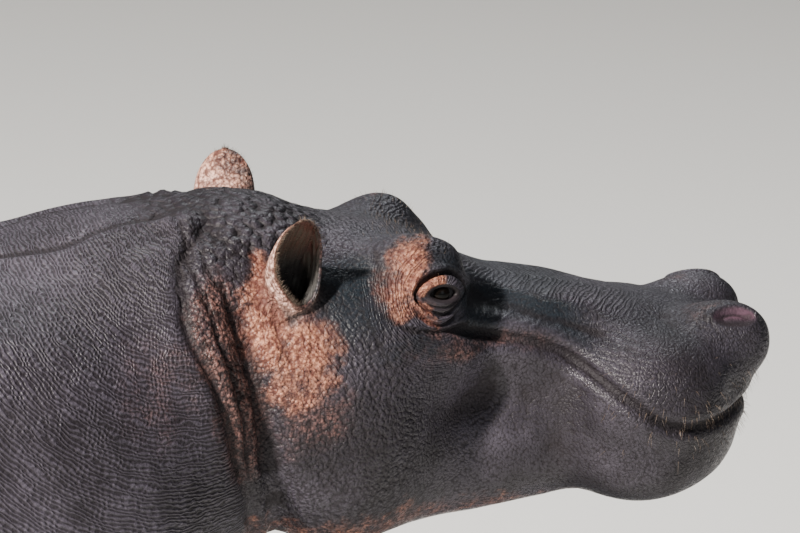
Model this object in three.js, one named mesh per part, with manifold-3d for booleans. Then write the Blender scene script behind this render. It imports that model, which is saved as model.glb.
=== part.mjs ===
// An adult common hippopotamus, standing square with its head held level and its mouth shut.
// Millimetres, +Z up, the floor at z = 0. The animal faces -Y and its left side is +X.
// Places along the body are stations: s is the distance behind the front of the upper lip.
import * as THREE from 'three';
import { mergeVertices } from 'three/addons/utils/BufferGeometryUtils.js';
import Module from 'manifold-3d';

const wasm = await Module();
wasm.setup();

// ---------------------------------------------------------------- driving dimensions
const RUMP_STATION = 3220;
const ORIGIN_STATION = 1608.5; // halfway from the nostrils to the tail, over the middle of the floor plan
const EYE = { x: 158, s: 484, z: 1290, radius: 25 };
const CUT_GAP = 1.4; // the width of each thin cut between two named parts
const FIT_GAP = 1; // the clearance where one part is set against another
const NAIL_GAP = 2; // the clearance behind a toenail
const FACET_TOLERANCE = 0.6; // how far merging nearly level facets may move a surface
const SIDES = { left: 1, right: -1 };

const SKIN_COLOUR = 0x4a4146;
const FACE_COLOUR = 0x6b4b45;
const EAR_COLOUR = 0x8a5a48;
const EYE_COLOUR = 0x140d0a;
const NAIL_COLOUR = 0x4c4038;

// ---------------------------------------------------------------- small maths
const clamp = (v, low, high) => Math.min(high, Math.max(low, v));

// Smooth union: the lower of two distances, rounded over a band of width k.
function join(a, b, k) {
  const h = Math.max(k - Math.abs(a - b), 0) / k;
  return Math.min(a, b) - 0.25 * h * h * k;
}

// Smooth cut: the higher of two distances, rounded over a band of width k.
const limit = (a, b, k) => -join(-a, -b, k);

// A smooth curve through [station, value, value, ...] rows, by cubic Hermite spans.
function rowsAt(rows, s) {
  const last = rows.length - 1;
  const at = clamp(s, rows[0][0], rows[last][0]);
  let i = 0;
  while (i < last - 1 && rows[i + 1][0] <= at) i += 1;
  const span = rows[i + 1][0] - rows[i][0];
  const t = (at - rows[i][0]) / span;
  const slope = (j, c) => {
    const a = rows[Math.max(j - 1, 0)];
    const b = rows[Math.min(j + 1, last)];
    return (b[c] - a[c]) / (b[0] - a[0]);
  };
  return rows[i].slice(1).map((start, k) => {
    const c = k + 1;
    const h = [2 * t ** 3 - 3 * t ** 2 + 1, t ** 3 - 2 * t ** 2 + t, 3 * t ** 2 - 2 * t ** 3, t ** 3 - t ** 2];
    return h[0] * start + h[1] * span * slope(i, c) + h[2] * rows[i + 1][c] + h[3] * span * slope(i + 1, c);
  });
}

// ---------------------------------------------------------------- the body's masses
// The barrel runs from inside the head to the rump: station, top, bottom, half width, height of the widest line.
const BARREL = [
  [600, 1325, 990, 150, 1170],
  [740, 1388, 905, 222, 1125],
  [830, 1400, 855, 284, 1090],
  [960, 1394, 815, 310, 1060],
  [1130, 1362, 745, 345, 1030],
  [1300, 1370, 640, 402, 985],
  [1600, 1402, 480, 470, 920],
  [1950, 1420, 370, 522, 860],
  [2300, 1428, 335, 545, 840],
  [2600, 1414, 362, 505, 865],
  [2900, 1372, 450, 440, 915],
  [3220, 1310, 620, 400, 980],
];
const BARREL_ROUND = 2.25;
const RUMP_CURVE_FROM = 2640;
const RUMP_ROUND = 2.3;

// Each mass is a rounded block: centre [x, s, z], half sizes [x, s, z], how square it is, the pitch of its front in
// degrees (up is positive) and the width over which it blends into what is already there. x is mirrored.
const HEAD_MASSES = [
  { name: 'nasal bridge', at: [0, 340, 1203], size: [92, 285, 62], square: 3.1, pitch: -12, blend: 1 },
  { name: 'upper muzzle', at: [0, 140, 1114], size: [176, 150, 90], square: 2.7, pitch: 4, blend: 40 },
  { name: 'tusk swelling', at: [150, 160, 1116], size: [84, 112, 78], square: 2.1, pitch: 0, blend: 40 },
  { name: 'nostril mound', at: [84, 38, 1164], size: [55, 76, 62], square: 2.15, pitch: 0, blend: 30 },
  { name: 'upper lip', at: [96, 330, 1178], size: [52, 170, 60], square: 2.1, pitch: -10, blend: 60 },
  { name: 'jaw bar', at: [0, 380, 1036], size: [150, 350, 112], square: 2.5, pitch: 8, blend: 60 },
  { name: 'chin', at: [0, 120, 1028], size: [160, 114, 90], square: 2.4, pitch: 0, blend: 60 },
  { name: 'lower lip', at: [132, 172, 1032], size: [68, 96, 82], square: 2.1, pitch: 0, blend: 60 },
  { name: 'cranium', at: [0, 630, 1214], size: [176, 236, 156], square: 2.3, pitch: -6, blend: 60 },
  { name: 'poll', at: [0, 756, 1268], size: [152, 128, 128], square: 2.2, pitch: 0, blend: 60 },
  { name: 'jowl', at: [118, 640, 1104], size: [128, 150, 190], square: 2.2, pitch: 0, blend: 90 },
  { name: 'cheek bone', at: [132, 548, 1212], size: [62, 120, 62], square: 2, pitch: -8, blend: 60 },
  { name: 'brow', at: [114, 512, 1289], size: [62, 79, 78], square: 2, pitch: 0, blend: 36 },
];
const TRUNK_MASSES = [
  { name: 'shoulder', at: [288, 1240, 950], size: [150, 330, 350], square: 2.1, pitch: 0, blend: 160 },
  { name: 'brisket', at: [0, 1190, 760], size: [240, 260, 190], square: 2.1, pitch: 0, blend: 160 },
  { name: 'haunch', at: [296, 2740, 850], size: [200, 350, 410], square: 2.1, pitch: 0, blend: 150 },
];

// The line between the lips: its height at each station, from the front of the muzzle to the corner and on
// behind it, where it only guides the mesh.
const MOUTH_LINE = [
  [-20, 1080],
  [80, 1076],
  [155, 1084],
  [225, 1134],
  [305, 1188],
  [400, 1214],
  [490, 1236],
  [620, 1216],
  [800, 1140],
  [1100, 1050],
  [2750, 930],
];
const LIPS = { corner: 496, fade: 60, depth: 10, half: 9 };
// The crease behind the jowl, where the head meets the neck, leans back towards the top.
const CREASE = { s: 785, z: 1260, lean: 12, depth: 16, half: 22, top: 1345, fade: 70 };

const leanOf = (degrees) => Math.tan(THREE.MathUtils.degToRad(degrees));
const bell = (v) => Math.exp(-v * v);
const ramp = (v, from, to) => clamp((v - from) / (to - from), 0, 1);

// The distance to a mass, to first order: (g - 1) / |gradient of g| for the block's own norm g.
function massDistance(mass, x, s, z) {
  const pitch = THREE.MathUtils.degToRad(mass.pitch);
  const across = Math.abs(x) - mass.at[0];
  const ds = s - mass.at[1];
  const dz = z - mass.at[2];
  const local = [across, ds * Math.cos(pitch) - dz * Math.sin(pitch), ds * Math.sin(pitch) + dz * Math.cos(pitch)];
  const n = mass.square;
  const powers = local.map((v, i) => Math.abs(v / mass.size[i]) ** n);
  const g = Math.max(powers[0] + powers[1] + powers[2], 1e-9) ** (1 / n);
  const terms = local.map((v, i) => (Math.abs(v / mass.size[i]) ** (n - 1) / mass.size[i]) ** 2);
  const slope = g ** (1 - n) * Math.sqrt(terms[0] + terms[1] + terms[2]);
  return (g - 1) / Math.max(slope, 1e-6);
}

const withMasses = (masses, start, x, s, z) =>
  masses.reduce((d, mass) => join(d, massDistance(mass, x, s, z), mass.blend), start);

// The distance from the barrel, along the line from its middle, with the rump closed by a rounded end.
function barrelDistance(x, s, z) {
  const [top, bottom, half, middle] = rowsAt(BARREL, s);
  const past = clamp((s - RUMP_CURVE_FROM) / (RUMP_STATION - RUMP_CURVE_FROM), 0, 1);
  const end = Math.max(1 - past ** RUMP_ROUND, 0) ** (1 / RUMP_ROUND);
  const dz = z - middle;
  const reach = Math.hypot(x, dz);
  const beyond = Math.max(s - RUMP_STATION, BARREL[0][0] - s, 0);
  if (end < 1e-3 || beyond > 0) return Math.hypot(reach, beyond);
  const tall = (dz > 0 ? top - middle : middle - bottom) * end;
  const g = (Math.abs(x / (half * end)) ** BARREL_ROUND + Math.abs(dz / tall) ** BARREL_ROUND) ** (1 / BARREL_ROUND);
  return g < 1e-6 ? -Math.min(half, tall) : reach * (1 - 1 / g);
}

// How deep the groove between the lips and the crease behind the jowl are pressed in at a point.
function groove(x, s, z) {
  const [line] = rowsAt(MOUTH_LINE, s);
  const lips = LIPS.depth * bell((z - line) / LIPS.half) * ramp(s, LIPS.corner, LIPS.corner - LIPS.fade);
  const creaseAt = CREASE.s + (z - CREASE.z) * leanOf(CREASE.lean);
  const low = ramp(z, CREASE.top, CREASE.top - CREASE.fade);
  return lips + CREASE.depth * bell((s - creaseAt) / CREASE.half) * low;
}

// Head, neck and trunk as one form.
function bodyDistance(x, s, z) {
  const trunk = withMasses(TRUNK_MASSES, barrelDistance(x, s, z), x, s, z);
  return withMasses(HEAD_MASSES, trunk, x, s, z) + groove(x, s, z);
}

// ---------------------------------------------------------------- legs and feet
// Each limb bone is a tapered rod with round ends, given in the leg's own frame: x outwards, s back, z up.
const FORE_LEG = {
  at: { x: 300, s: 1225 },
  bones: [
    { from: [-12, -30, 900], to: [14, 30, 560], radii: [135, 134] },
    { from: [14, 30, 560], to: [0, 0, 270], radii: [134, 94] },
    { from: [0, 0, 270], to: [0, -14, 90], radii: [94, 100] },
  ],
  top: 800,
};
const HIND_LEG = {
  at: { x: 285, s: 2770 },
  bones: [
    { from: [0, -50, 850], to: [10, -96, 600], radii: [180, 156] },
    { from: [10, -96, 600], to: [4, 30, 350], radii: [156, 98] },
    { from: [4, 30, 350], to: [0, -6, 90], radii: [90, 96] },
  ],
  top: 800,
};
const LEG_BLEND = 70;
const FOOT = { at: [0, -22, 62], size: [104, 122, 84], square: 2.3, pitch: 0 };
const TOES = { count: 4, spread: 38, reach: 92, centre: [0, -26], height: 40, size: [38, 56, 48] };
// How far each foot stands ahead of (negative) or behind its shoulder or hip.
const STRIDES = { fore_left: -36, fore_right: 40, hind_left: 46, hind_right: -54 };

function boneDistance(bone, x, s, z) {
  const [a, b] = [new THREE.Vector3(...bone.from), new THREE.Vector3(...bone.to)];
  const along = b.clone().sub(a);
  const p = new THREE.Vector3(x, s, z).sub(a);
  const t = clamp(p.dot(along) / along.lengthSq(), 0, 1);
  return p.addScaledVector(along, -t).length() - THREE.MathUtils.lerp(bone.radii[0], bone.radii[1], t);
}

// Toe i stands on a fan in front of the foot, the outer ones shorter and turned outwards.
function toePlace(i) {
  const angle = THREE.MathUtils.degToRad((i - (TOES.count - 1) / 2) * TOES.spread);
  const reach = TOES.reach * (1 - 0.1 * Math.abs(Math.sin(angle)));
  return {
    x: TOES.centre[0] + reach * Math.sin(angle),
    s: TOES.centre[1] - reach * Math.cos(angle),
    angle,
  };
}

function toeDistance(i, x, s, z) {
  const toe = toePlace(i);
  const dx = x - toe.x;
  const ds = s - toe.s;
  const sideways = dx * Math.cos(toe.angle) + ds * Math.sin(toe.angle);
  const along = -dx * Math.sin(toe.angle) + ds * Math.cos(toe.angle);
  const mass = { at: [0, 0, TOES.height], size: TOES.size, square: 2.2, pitch: 0 };
  return sideways < 0 ? massDistance(mass, -sideways, along, z) : massDistance(mass, sideways, along, z);
}

function legDistance(leg, x, s, z) {
  let d = leg.bones.reduce((so_far, bone) => join(so_far, boneDistance(bone, x, s, z), LEG_BLEND), 1e4);
  d = join(d, massDistance(FOOT, x, s, z), LEG_BLEND);
  for (let i = 0; i < TOES.count; i += 1) d = join(d, toeDistance(i, x, s, z), 14);
  return d;
}

// ---------------------------------------------------------------- from distances to solids
// The furthest point of a form along a ray: steps in from outside, then halves the last step.
function castTo(distance, from, direction, reach) {
  const step = reach / 90;
  const at = (t) => from.clone().addScaledVector(direction, t);
  const inside = (t) => distance(...at(t).toArray()) < 0;
  let t = reach;
  while (t > 0 && !inside(t)) t -= step;
  let [low, high] = [Math.max(t, 0), Math.max(t, 0) + step];
  for (let i = 0; i < 18; i += 1) {
    const middle = (low + high) / 2;
    if (inside(middle)) low = middle;
    else high = middle;
  }
  return at(low);
}

// A closed solid through rings of points. An end is closed on its pole, a ring of one point, or on its middle.
function ringSolid(all) {
  const middle = (ring) => ring.reduce((sum, p) => sum.add(p), new THREE.Vector3()).divideScalar(ring.length);
  const rings = all.filter((ring) => ring.length > 1);
  const around = rings[0].length;
  const points = [...rings.flat(), middle(all[0]), middle(all[all.length - 1])];
  const index = [];
  for (let r = 0; r < rings.length - 1; r += 1) {
    for (let i = 0; i < around; i += 1) {
      const [a, b] = [r * around + i, r * around + ((i + 1) % around)];
      index.push(a, b, b + around, a, b + around, a + around);
    }
  }
  const [first, last] = [points.length - 2, points.length - 1];
  const lastRing = (rings.length - 1) * around;
  for (let i = 0; i < around; i += 1) {
    const next = (i + 1) % around;
    index.push(first, next, i, last, lastRing + i, lastRing + next);
  }
  const solid = solidOf(new THREE.BufferGeometry().setFromPoints(points).setIndex(index));
  if (solid.volume() > 0) return solid;
  const turned = index.map((v, i) => index[i - (i % 3) + 2 - (i % 3)]);
  return solidOf(new THREE.BufferGeometry().setFromPoints(points).setIndex(turned));
}

// Stations to row frame: the animal faces -Y, so a later station lies at a larger y.
const toRow = (x, s, z) => new THREE.Vector3(x, s - ORIGIN_STATION, z);

function solidOf(geometry) {
  const plain = geometry.clone();
  plain.deleteAttribute('normal');
  plain.deleteAttribute('uv');
  const merged = mergeVertices(plain, 1e-3);
  return new wasm.Manifold(
    new wasm.Mesh({
      numProp: 3,
      vertProperties: merged.attributes.position.array,
      triVerts: new Uint32Array(merged.index.array),
    }),
  );
}

function geometryOf(solid) {
  const mesh = solid.getMesh();
  const points = new Float32Array(mesh.numVert * 3);
  for (let v = 0; v < mesh.numVert; v += 1) {
    points.set(mesh.vertProperties.subarray(v * mesh.numProp, v * mesh.numProp + 3), v * 3);
  }
  const geometry = new THREE.BufferGeometry();
  geometry.setAttribute('position', new THREE.BufferAttribute(points, 3));
  return geometry.setIndex(new THREE.BufferAttribute(mesh.triVerts, 1));
}

const placed = (geometry, x, y, z) => geometry.translate(x, y, z);

// The body's rings: a fan of rays over the muzzle, leaning flat sections along the body, and a fan over the rump.
// Two rows of corners follow the line between the lips, so that the groove there is sharp.
const ABOVE_LIPS = 22;
const BELOW_LIPS = 12;
const LIP_STEPS = [0, 0.022, 0.068];
const FAN_RINGS = { muzzle: 8, rump: 6 };
// Station and height of the sections' middles, their lean, and how many sections follow each.
const BODY_AXIS = [
  [150, 1080, 0, 15],
  [560, 1160, 0, 6],
  [756, 1150, 12, 3],
  [843, 1130, 12, 4],
  [1130, 1060, 12, 3],
  [1380, 1000, 0, 6],
  [2680, 930, 0, 0],
];
const CAST_REACH = 900;

// A ray in the section at [s, z], turned by angle from the animal's left and tipped from straight ahead by tilt.
function bodyRay([s, z, lean], tilt, angle) {
  const up = Math.sin(tilt) * Math.sin(angle);
  const ray = new THREE.Vector3(Math.sin(tilt) * Math.cos(angle), up * leanOf(lean) - Math.cos(tilt), up);
  return castTo(bodyDistance, new THREE.Vector3(0, s, z), ray.normalize(), CAST_REACH);
}

// The angle at which a section's surface crosses the line between the lips, found by halving.
function lipAngle(middle, tilt) {
  let [low, high] = [-1.3, 1.3];
  for (let i = 0; i < 14; i += 1) {
    const angle = (low + high) / 2;
    const hit = bodyRay(middle, tilt, angle);
    if (hit.z > rowsAt(MOUTH_LINE, hit.y)[0]) high = angle;
    else low = angle;
  }
  return (low + high) / 2;
}

// Shares of an arc between the two lip rows: even along the body, gathered at its ends near the mouth.
function arcShares(count, s) {
  const gathered = 1 - ramp(s, LIPS.corner, LIPS.corner + 160);
  return Array.from({ length: count }, (_, i) => {
    const even = i / count;
    const fromEnd = Math.min(i, count - i);
    const last = LIP_STEPS.length - 1;
    const scaled = LIP_STEPS.map((v) => (v * ABOVE_LIPS) / count);
    const inner = scaled[last] + ((0.5 - scaled[last]) * (fromEnd - last)) / (count / 2 - last);
    const near = fromEnd <= last ? scaled[fromEnd] : inner;
    return THREE.MathUtils.lerp(even, i <= count / 2 ? near : 1 - near, gathered);
  });
}

function bodyRing(middle, tilt) {
  const start = lipAngle(middle, tilt);
  const over = arcShares(ABOVE_LIPS, middle[0]).map((share) => start + (Math.PI - 2 * start) * share);
  const under = arcShares(BELOW_LIPS, middle[0]).map((share) => Math.PI - start + (Math.PI + 2 * start) * share);
  return [...over, ...under].map((angle) => bodyRay(middle, tilt, angle));
}

function bodyRings() {
  const [front, back] = [BODY_AXIS[0], BODY_AXIS[BODY_AXIS.length - 1]];
  const rings = [[bodyRay(front, 0, 0)]];
  for (let r = 1; r < FAN_RINGS.muzzle; r += 1) rings.push(bodyRing(front, (Math.PI / 2) * (r / FAN_RINGS.muzzle)));
  BODY_AXIS.slice(0, -1).forEach((from, i) => {
    const to = BODY_AXIS[i + 1];
    for (let r = 0; r < from[3]; r += 1) {
      const middle = [0, 1, 2].map((k) => THREE.MathUtils.lerp(from[k], to[k], r / from[3]));
      rings.push(bodyRing(middle, Math.PI / 2));
    }
  });
  for (let r = 0; r < FAN_RINGS.rump; r += 1) rings.push(bodyRing(back, (Math.PI / 2) * (1 + r / FAN_RINGS.rump)));
  return [...rings, [bodyRay(back, Math.PI, 0)]];
}

// The body's solid, pushed out from its own axis by swell.
function bodySolid(rings, swell) {
  return ringSolid(
    rings.map((ring) =>
      ring.map((p) => {
        const out = new THREE.Vector3(p.x, 0, p.z - rowsAt(BODY_AXIS, p.y)[0]);
        const end = Math.min(p.y - BODY_AXIS[0][0], 0) + Math.max(p.y - BODY_AXIS[BODY_AXIS.length - 1][0], 0);
        out.setY(end).normalize();
        return toRow(...p.clone().addScaledVector(out, swell).toArray());
      }),
    ),
  );
}

// A leg's rings are level sections from the sole up into the body. side is 1 on the left and -1 on the right.
const LEG_AROUND = 20;
const LEG_LEVELS = [0, 10, 30, 56, 84, 118, 165, 230, 310, 400, 500, 610, 740, 860];

function legSolid(leg, side, stride, swell) {
  const axisAt = (z) => {
    const bone = leg.bones.find((b) => z <= b.from[2] && z >= b.to[2]) ?? leg.bones[leg.bones.length - 1];
    const t = clamp((bone.from[2] - z) / (bone.from[2] - bone.to[2]), 0, 1);
    return [0, 1].map((k) => THREE.MathUtils.lerp(bone.from[k], bone.to[k], t));
  };
  const swing = (z) => stride * clamp((leg.top - z) / leg.top, 0, 1);
  const rings = LEG_LEVELS.map((z) => {
    const [ax, as] = axisAt(z);
    return Array.from({ length: LEG_AROUND }, (_, i) => {
      const angle = (2 * Math.PI * i) / LEG_AROUND;
      const direction = new THREE.Vector3(Math.cos(angle), Math.sin(angle), 0);
      const point = castTo((x, s, h) => legDistance(leg, x, s, h), new THREE.Vector3(ax, as, z), direction, 330);
      point.addScaledVector(direction, swell);
      return toRow(side * (leg.at.x + point.x), leg.at.s + point.y + swing(z), z);
    });
  });
  return ringSolid(rings);
}

// A toenail is a low dome over the tip of its toe, cut off where it meets the foot.
const NAIL = { size: [29, 25, 31], ahead: 40, height: 35 };

function nailSolid(leg, side, stride, i) {
  const toe = toePlace(i);
  const dome = new THREE.SphereGeometry(1, 8, 4);
  dome.scale(...NAIL.size);
  dome.rotateX(THREE.MathUtils.degToRad(-20));
  dome.rotateZ(side * toe.angle);
  const x = toe.x + NAIL.ahead * Math.sin(toe.angle);
  const s = toe.s - NAIL.ahead * Math.cos(toe.angle);
  const place = toRow(side * (leg.at.x + x), leg.at.s + s + stride, NAIL.height);
  return solidOf(placed(dome, ...place.toArray()));
}

// ---------------------------------------------------------------- ears, eyes, nostrils and tail
// An ear is a cupped leaf: each section is a thick arc, wide in the middle, that narrows to the tip and to the root.
const EAR = { length: 138, width: 44, depth: 40, wall: 9, rings: 7, around: 8, lean: 20, turn: 22 };
// The ears are turned on their own: where each is rooted, and how far it rakes forwards.
const EARS = {
  left: { x: 172, s: 732, z: 1290, rake: 6 },
  right: { x: 172, s: 702, z: 1296, rake: 3 },
};

function earSolid(name) {
  const root = EARS[name];
  const rings = [];
  for (let r = 0; r <= EAR.rings; r += 1) {
    const t = r / EAR.rings;
    const swellOut = 0.62 + 0.5 * Math.sin(Math.PI * Math.min(t * 1.1, 1) * 0.62);
    const wide = EAR.width * swellOut * Math.sqrt(1 - 0.93 * t ** 4);
    const open = THREE.MathUtils.degToRad(THREE.MathUtils.lerp(150, 78, t));
    const wall = THREE.MathUtils.lerp(EAR.wall, 5, t);
    const arc = (radius) =>
      Array.from({ length: EAR.around }, (_, i) => {
        const angle = THREE.MathUtils.lerp(-open, open, i / (EAR.around - 1));
        return new THREE.Vector3(radius * Math.sin(angle), radius * Math.cos(angle) * (EAR.depth / EAR.width), 0);
      });
    const height = -34 + (EAR.length + 34) * t;
    const section = [...arc(wide), ...arc(Math.max(wide - wall, 3)).reverse()];
    rings.push(section.map((p) => p.setZ(height + 0.16 * p.y * (1 - t))));
  }
  // In the leaf's own frame its back faces +Y. It is turned to open outwards and forwards.
  const radians = THREE.MathUtils.degToRad;
  const place = new THREE.Matrix4()
    .makeTranslation(root.x, root.s - ORIGIN_STATION, root.z)
    .multiply(new THREE.Matrix4().makeRotationY(radians(EAR.lean)))
    .multiply(new THREE.Matrix4().makeRotationX(radians(root.rake)))
    .multiply(new THREE.Matrix4().makeRotationZ(radians(90 - EAR.turn)));
  const side = SIDES[name];
  return ringSolid(rings.map((ring) => ring.map((p) => p.applyMatrix4(place).setX(side * p.x))));
}

function eyeSolid(side, swell) {
  const ball = new THREE.SphereGeometry(EYE.radius + swell, 11, 7);
  return solidOf(placed(ball, side * EYE.x, EYE.s - ORIGIN_STATION, EYE.z));
}

// A nostril is a slot pressed into the outer slope of its mound.
const NOSTRIL = { x: 113, s: 29, z: 1213, size: [12, 33, 14], slope: 39, turn: -6 };

function nostrilSolid(side) {
  const slot = new THREE.SphereGeometry(1, 12, 8);
  slot.scale(...NOSTRIL.size);
  slot.rotateY(-side * THREE.MathUtils.degToRad(NOSTRIL.slope));
  slot.rotateZ(side * THREE.MathUtils.degToRad(NOSTRIL.turn));
  return solidOf(placed(slot, side * NOSTRIL.x, NOSTRIL.s - ORIGIN_STATION, NOSTRIL.z));
}

// The tail hangs close to the rump: station, height, half width and half depth along it.
const TAIL = [
  [3120, 1130, 62, 52],
  [3196, 1060, 50, 42],
  [3226, 960, 37, 28],
  [3234, 860, 29, 20],
  [3237, 770, 27, 14],
  [3238, 700, 21, 9],
];

function tailSolid() {
  const path = new THREE.CatmullRomCurve3(TAIL.map(([s, z]) => toRow(0, s, z)));
  const sizes = new THREE.CatmullRomCurve3(TAIL.map(([, , w, d]) => new THREE.Vector3(w, d, 0)));
  const steps = 8;
  const rings = [];
  for (let r = 0; r <= steps; r += 1) {
    const centre = path.getPoint(r / steps);
    const tangent = path.getTangent(r / steps);
    const size = sizes.getPoint(r / steps);
    const backwards = new THREE.Vector3(1, 0, 0).cross(tangent).normalize();
    rings.push(
      Array.from({ length: 8 }, (_, i) => {
        const angle = (2 * Math.PI * i) / 8;
        const point = centre.clone().addScaledVector(backwards, size.y * Math.sin(angle));
        return point.add(new THREE.Vector3(size.x * Math.cos(angle), 0, 0));
      }),
    );
  }
  return ringSolid(rings);
}

// ---------------------------------------------------------------- parting the body into its named parts
// A thin upright slab right across the body, leaning back at the top.
function slab(s, z, lean) {
  const sheet = new THREE.BoxGeometry(2400, CUT_GAP, 2600);
  sheet.rotateX(THREE.MathUtils.degToRad(-lean));
  return solidOf(placed(sheet, 0, s - ORIGIN_STATION, z));
}

// A thin curved sheet along the mouth line, then down behind the jaw.
function jawSheet() {
  const line = [];
  for (let s = -60; s <= LIPS.corner; s += 24) line.push(new THREE.Vector2(s, rowsAt(MOUTH_LINE, s)[0]));
  line.push(new THREE.Vector2(560, 1170), new THREE.Vector2(620, 1070), new THREE.Vector2(660, 800));
  const half = CUT_GAP / 2;
  const offset = (sign) =>
    line.map((p, i) => {
      const along = line[Math.min(i + 1, line.length - 1)].clone().sub(line[Math.max(i - 1, 0)]).normalize();
      return new THREE.Vector2(p.x - sign * half * along.y, p.y + sign * half * along.x);
    });
  const shape = new THREE.Shape([...offset(1), ...offset(-1).reverse()]);
  const sheet = new THREE.ExtrudeGeometry(shape, { depth: 900, bevelEnabled: false, curveSegments: 1 });
  // The shape lies in (s, z) and its thickness runs across the body.
  sheet.applyMatrix4(new THREE.Matrix4().set(0, 0, 1, -450, 1, 0, 0, -ORIGIN_STATION, 0, 1, 0, 0, 0, 0, 0, 1));
  const solid = solidOf(sheet);
  return solid.volume() > 0 ? solid : solidOf(turnedOver(sheet));
}

function turnedOver(geometry) {
  const plain = geometry.index ? geometry.toNonIndexed() : geometry.clone();
  const p = plain.attributes.position.array;
  for (let i = 0; i < p.length; i += 9) {
    for (let k = 0; k < 3; k += 1) [p[i + 3 + k], p[i + 6 + k]] = [p[i + 6 + k], p[i + 3 + k]];
  }
  return plain;
}

const NECK_FRONT = CREASE;
const NECK_BACK = { s: 1130, z: 1060, lean: 12 };

const middleOf = (solid) => {
  const box = solid.boundingBox();
  return box.min.map((v, k) => (v + box.max[k]) / 2);
};
const biggest = (pieces) => pieces.reduce((a, b) => (a.volume() > b.volume() ? a : b));

const hippo = new THREE.Group();
const material = (colour, roughness) => new THREE.MeshStandardMaterial({ color: colour, roughness, metalness: 0 });
const skin = material(SKIN_COLOUR, 0.55);
const face = material(FACE_COLOUR, 0.5);
const earSkin = material(EAR_COLOUR, 0.5);
const eyeball = material(EYE_COLOUR, 0.08);
const horn = material(NAIL_COLOUR, 0.45);

function add(name, solid, finish) {
  const mesh = new THREE.Mesh(geometryOf(biggest(solid.simplify(FACET_TOLERANCE).decompose())), finish);
  mesh.name = name;
  hippo.add(mesh);
}

const rings = bodyRings();
const whole = bodySolid(rings, 0);
const swollen = bodySolid(rings, FIT_GAP);

const cut = whole
  .subtract(slab(NECK_FRONT.s, NECK_FRONT.z, NECK_FRONT.lean))
  .subtract(slab(NECK_BACK.s, NECK_BACK.z, NECK_BACK.lean))
  .decompose()
  .sort((a, b) => middleOf(a)[1] - middleOf(b)[1]);
const [headWhole, neck, trunk] = cut;

let headBare = headWhole;
for (const side of Object.values(SIDES)) {
  headBare = headBare.subtract(eyeSolid(side, FIT_GAP)).subtract(nostrilSolid(side));
}
const jawParts = headBare.subtract(jawSheet()).decompose().sort((a, b) => b.volume() - a.volume());
const [head, jaw] = jawParts;

add('head', head, face);
add('lower_jaw', jaw, face);
add('neck', neck, skin);
add('trunk', trunk, skin);
add('tail', tailSolid().subtract(swollen), skin);

for (const [name, side] of Object.entries(SIDES)) {
  add(`eye_${name}`, eyeSolid(side, 0), eyeball);
  add(`ear_${name}`, earSolid(name).subtract(swollen), earSkin);
}

for (const [pair, leg] of Object.entries({ fore: FORE_LEG, hind: HIND_LEG })) {
  for (const [name, side] of Object.entries(SIDES)) {
    const stride = STRIDES[`${pair}_${name}`];
    const limb = legSolid(leg, side, stride, 0);
    const clear = legSolid(leg, side, stride, NAIL_GAP);
    add(`leg_${pair}_${name}`, limb.subtract(swollen), skin);
    for (let i = 0; i < TOES.count; i += 1) {
      const nail = nailSolid(leg, side, stride, i);
      add(`nail_${pair}_${name}_${i + 1}`, nail.subtract(clear).simplify(NAIL_GAP / 2), horn);
    }
  }
}

export default hippo;
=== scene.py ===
# %% [markdown]
# # A life-size hippopotamus
#
# An adult common hippopotamus stands with its head level and its mouth shut. Its flesh is one unbroken skin,
# so one mesh is made for it. The eyes, the toenails and the bristles are pieces of their own.
#
# A body like this is all soft swellings that run into each other, which is hard to build from patches. So it is
# described as a distance: a function that is below zero inside the animal and above zero outside it. The skin
# is where the function is zero. Folds, lids, ears and pebbled hide are then worked into that skin.
#
# Everything is worked out in millimetres as (x, s, z): x to the animal's left, s backwards from a station 38 mm
# behind the front of the snout, and z above the floor. It becomes metres when a mesh is made.

import bmesh
import bpy
import numpy as np
from mathutils import Matrix, Vector


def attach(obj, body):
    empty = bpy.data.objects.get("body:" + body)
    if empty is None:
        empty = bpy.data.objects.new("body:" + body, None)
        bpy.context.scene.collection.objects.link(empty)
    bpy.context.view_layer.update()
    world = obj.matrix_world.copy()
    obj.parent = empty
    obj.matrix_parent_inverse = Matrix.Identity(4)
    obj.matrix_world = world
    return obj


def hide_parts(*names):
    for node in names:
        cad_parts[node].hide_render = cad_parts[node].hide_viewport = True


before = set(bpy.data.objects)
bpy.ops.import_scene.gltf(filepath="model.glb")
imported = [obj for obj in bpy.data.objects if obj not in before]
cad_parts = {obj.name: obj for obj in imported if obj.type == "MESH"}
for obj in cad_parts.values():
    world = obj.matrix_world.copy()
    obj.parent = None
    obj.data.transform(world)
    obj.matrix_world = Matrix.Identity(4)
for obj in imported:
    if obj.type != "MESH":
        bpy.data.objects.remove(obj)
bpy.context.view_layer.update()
ORIGIN_STATION = 1608.5

# %% [markdown]
# ## The camera
#
# The head and neck are seen from the animal's right, a little from behind and from a little above, with a long
# lens from 9 m away. A long lens keeps the head's proportions true. The camera is aimed from the eye, which is
# the point that an observer looks at first.

# %% Camera
EYE = np.array([158.0, 484.0, 1290.0])
EYE_RADIUS = 25.0
MM_PER_UNIT = 1.44
FRAME_WIDTH = 800
VIEW_DISTANCE = 9000.0
# How far the eye stands out beyond its middle, and where the view is aimed from there: right and up, in units.
EYE_SHOWS_OUT = 7.0
AIM_RIGHT, AIM_UP = -38.0, 26.5
SENSOR_WIDTH = 36.0
TURN_BEHIND, LOOK_DOWN = np.radians(13.0), np.radians(16.0)
AHEAD = np.array([0, -1.0, 0])


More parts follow.
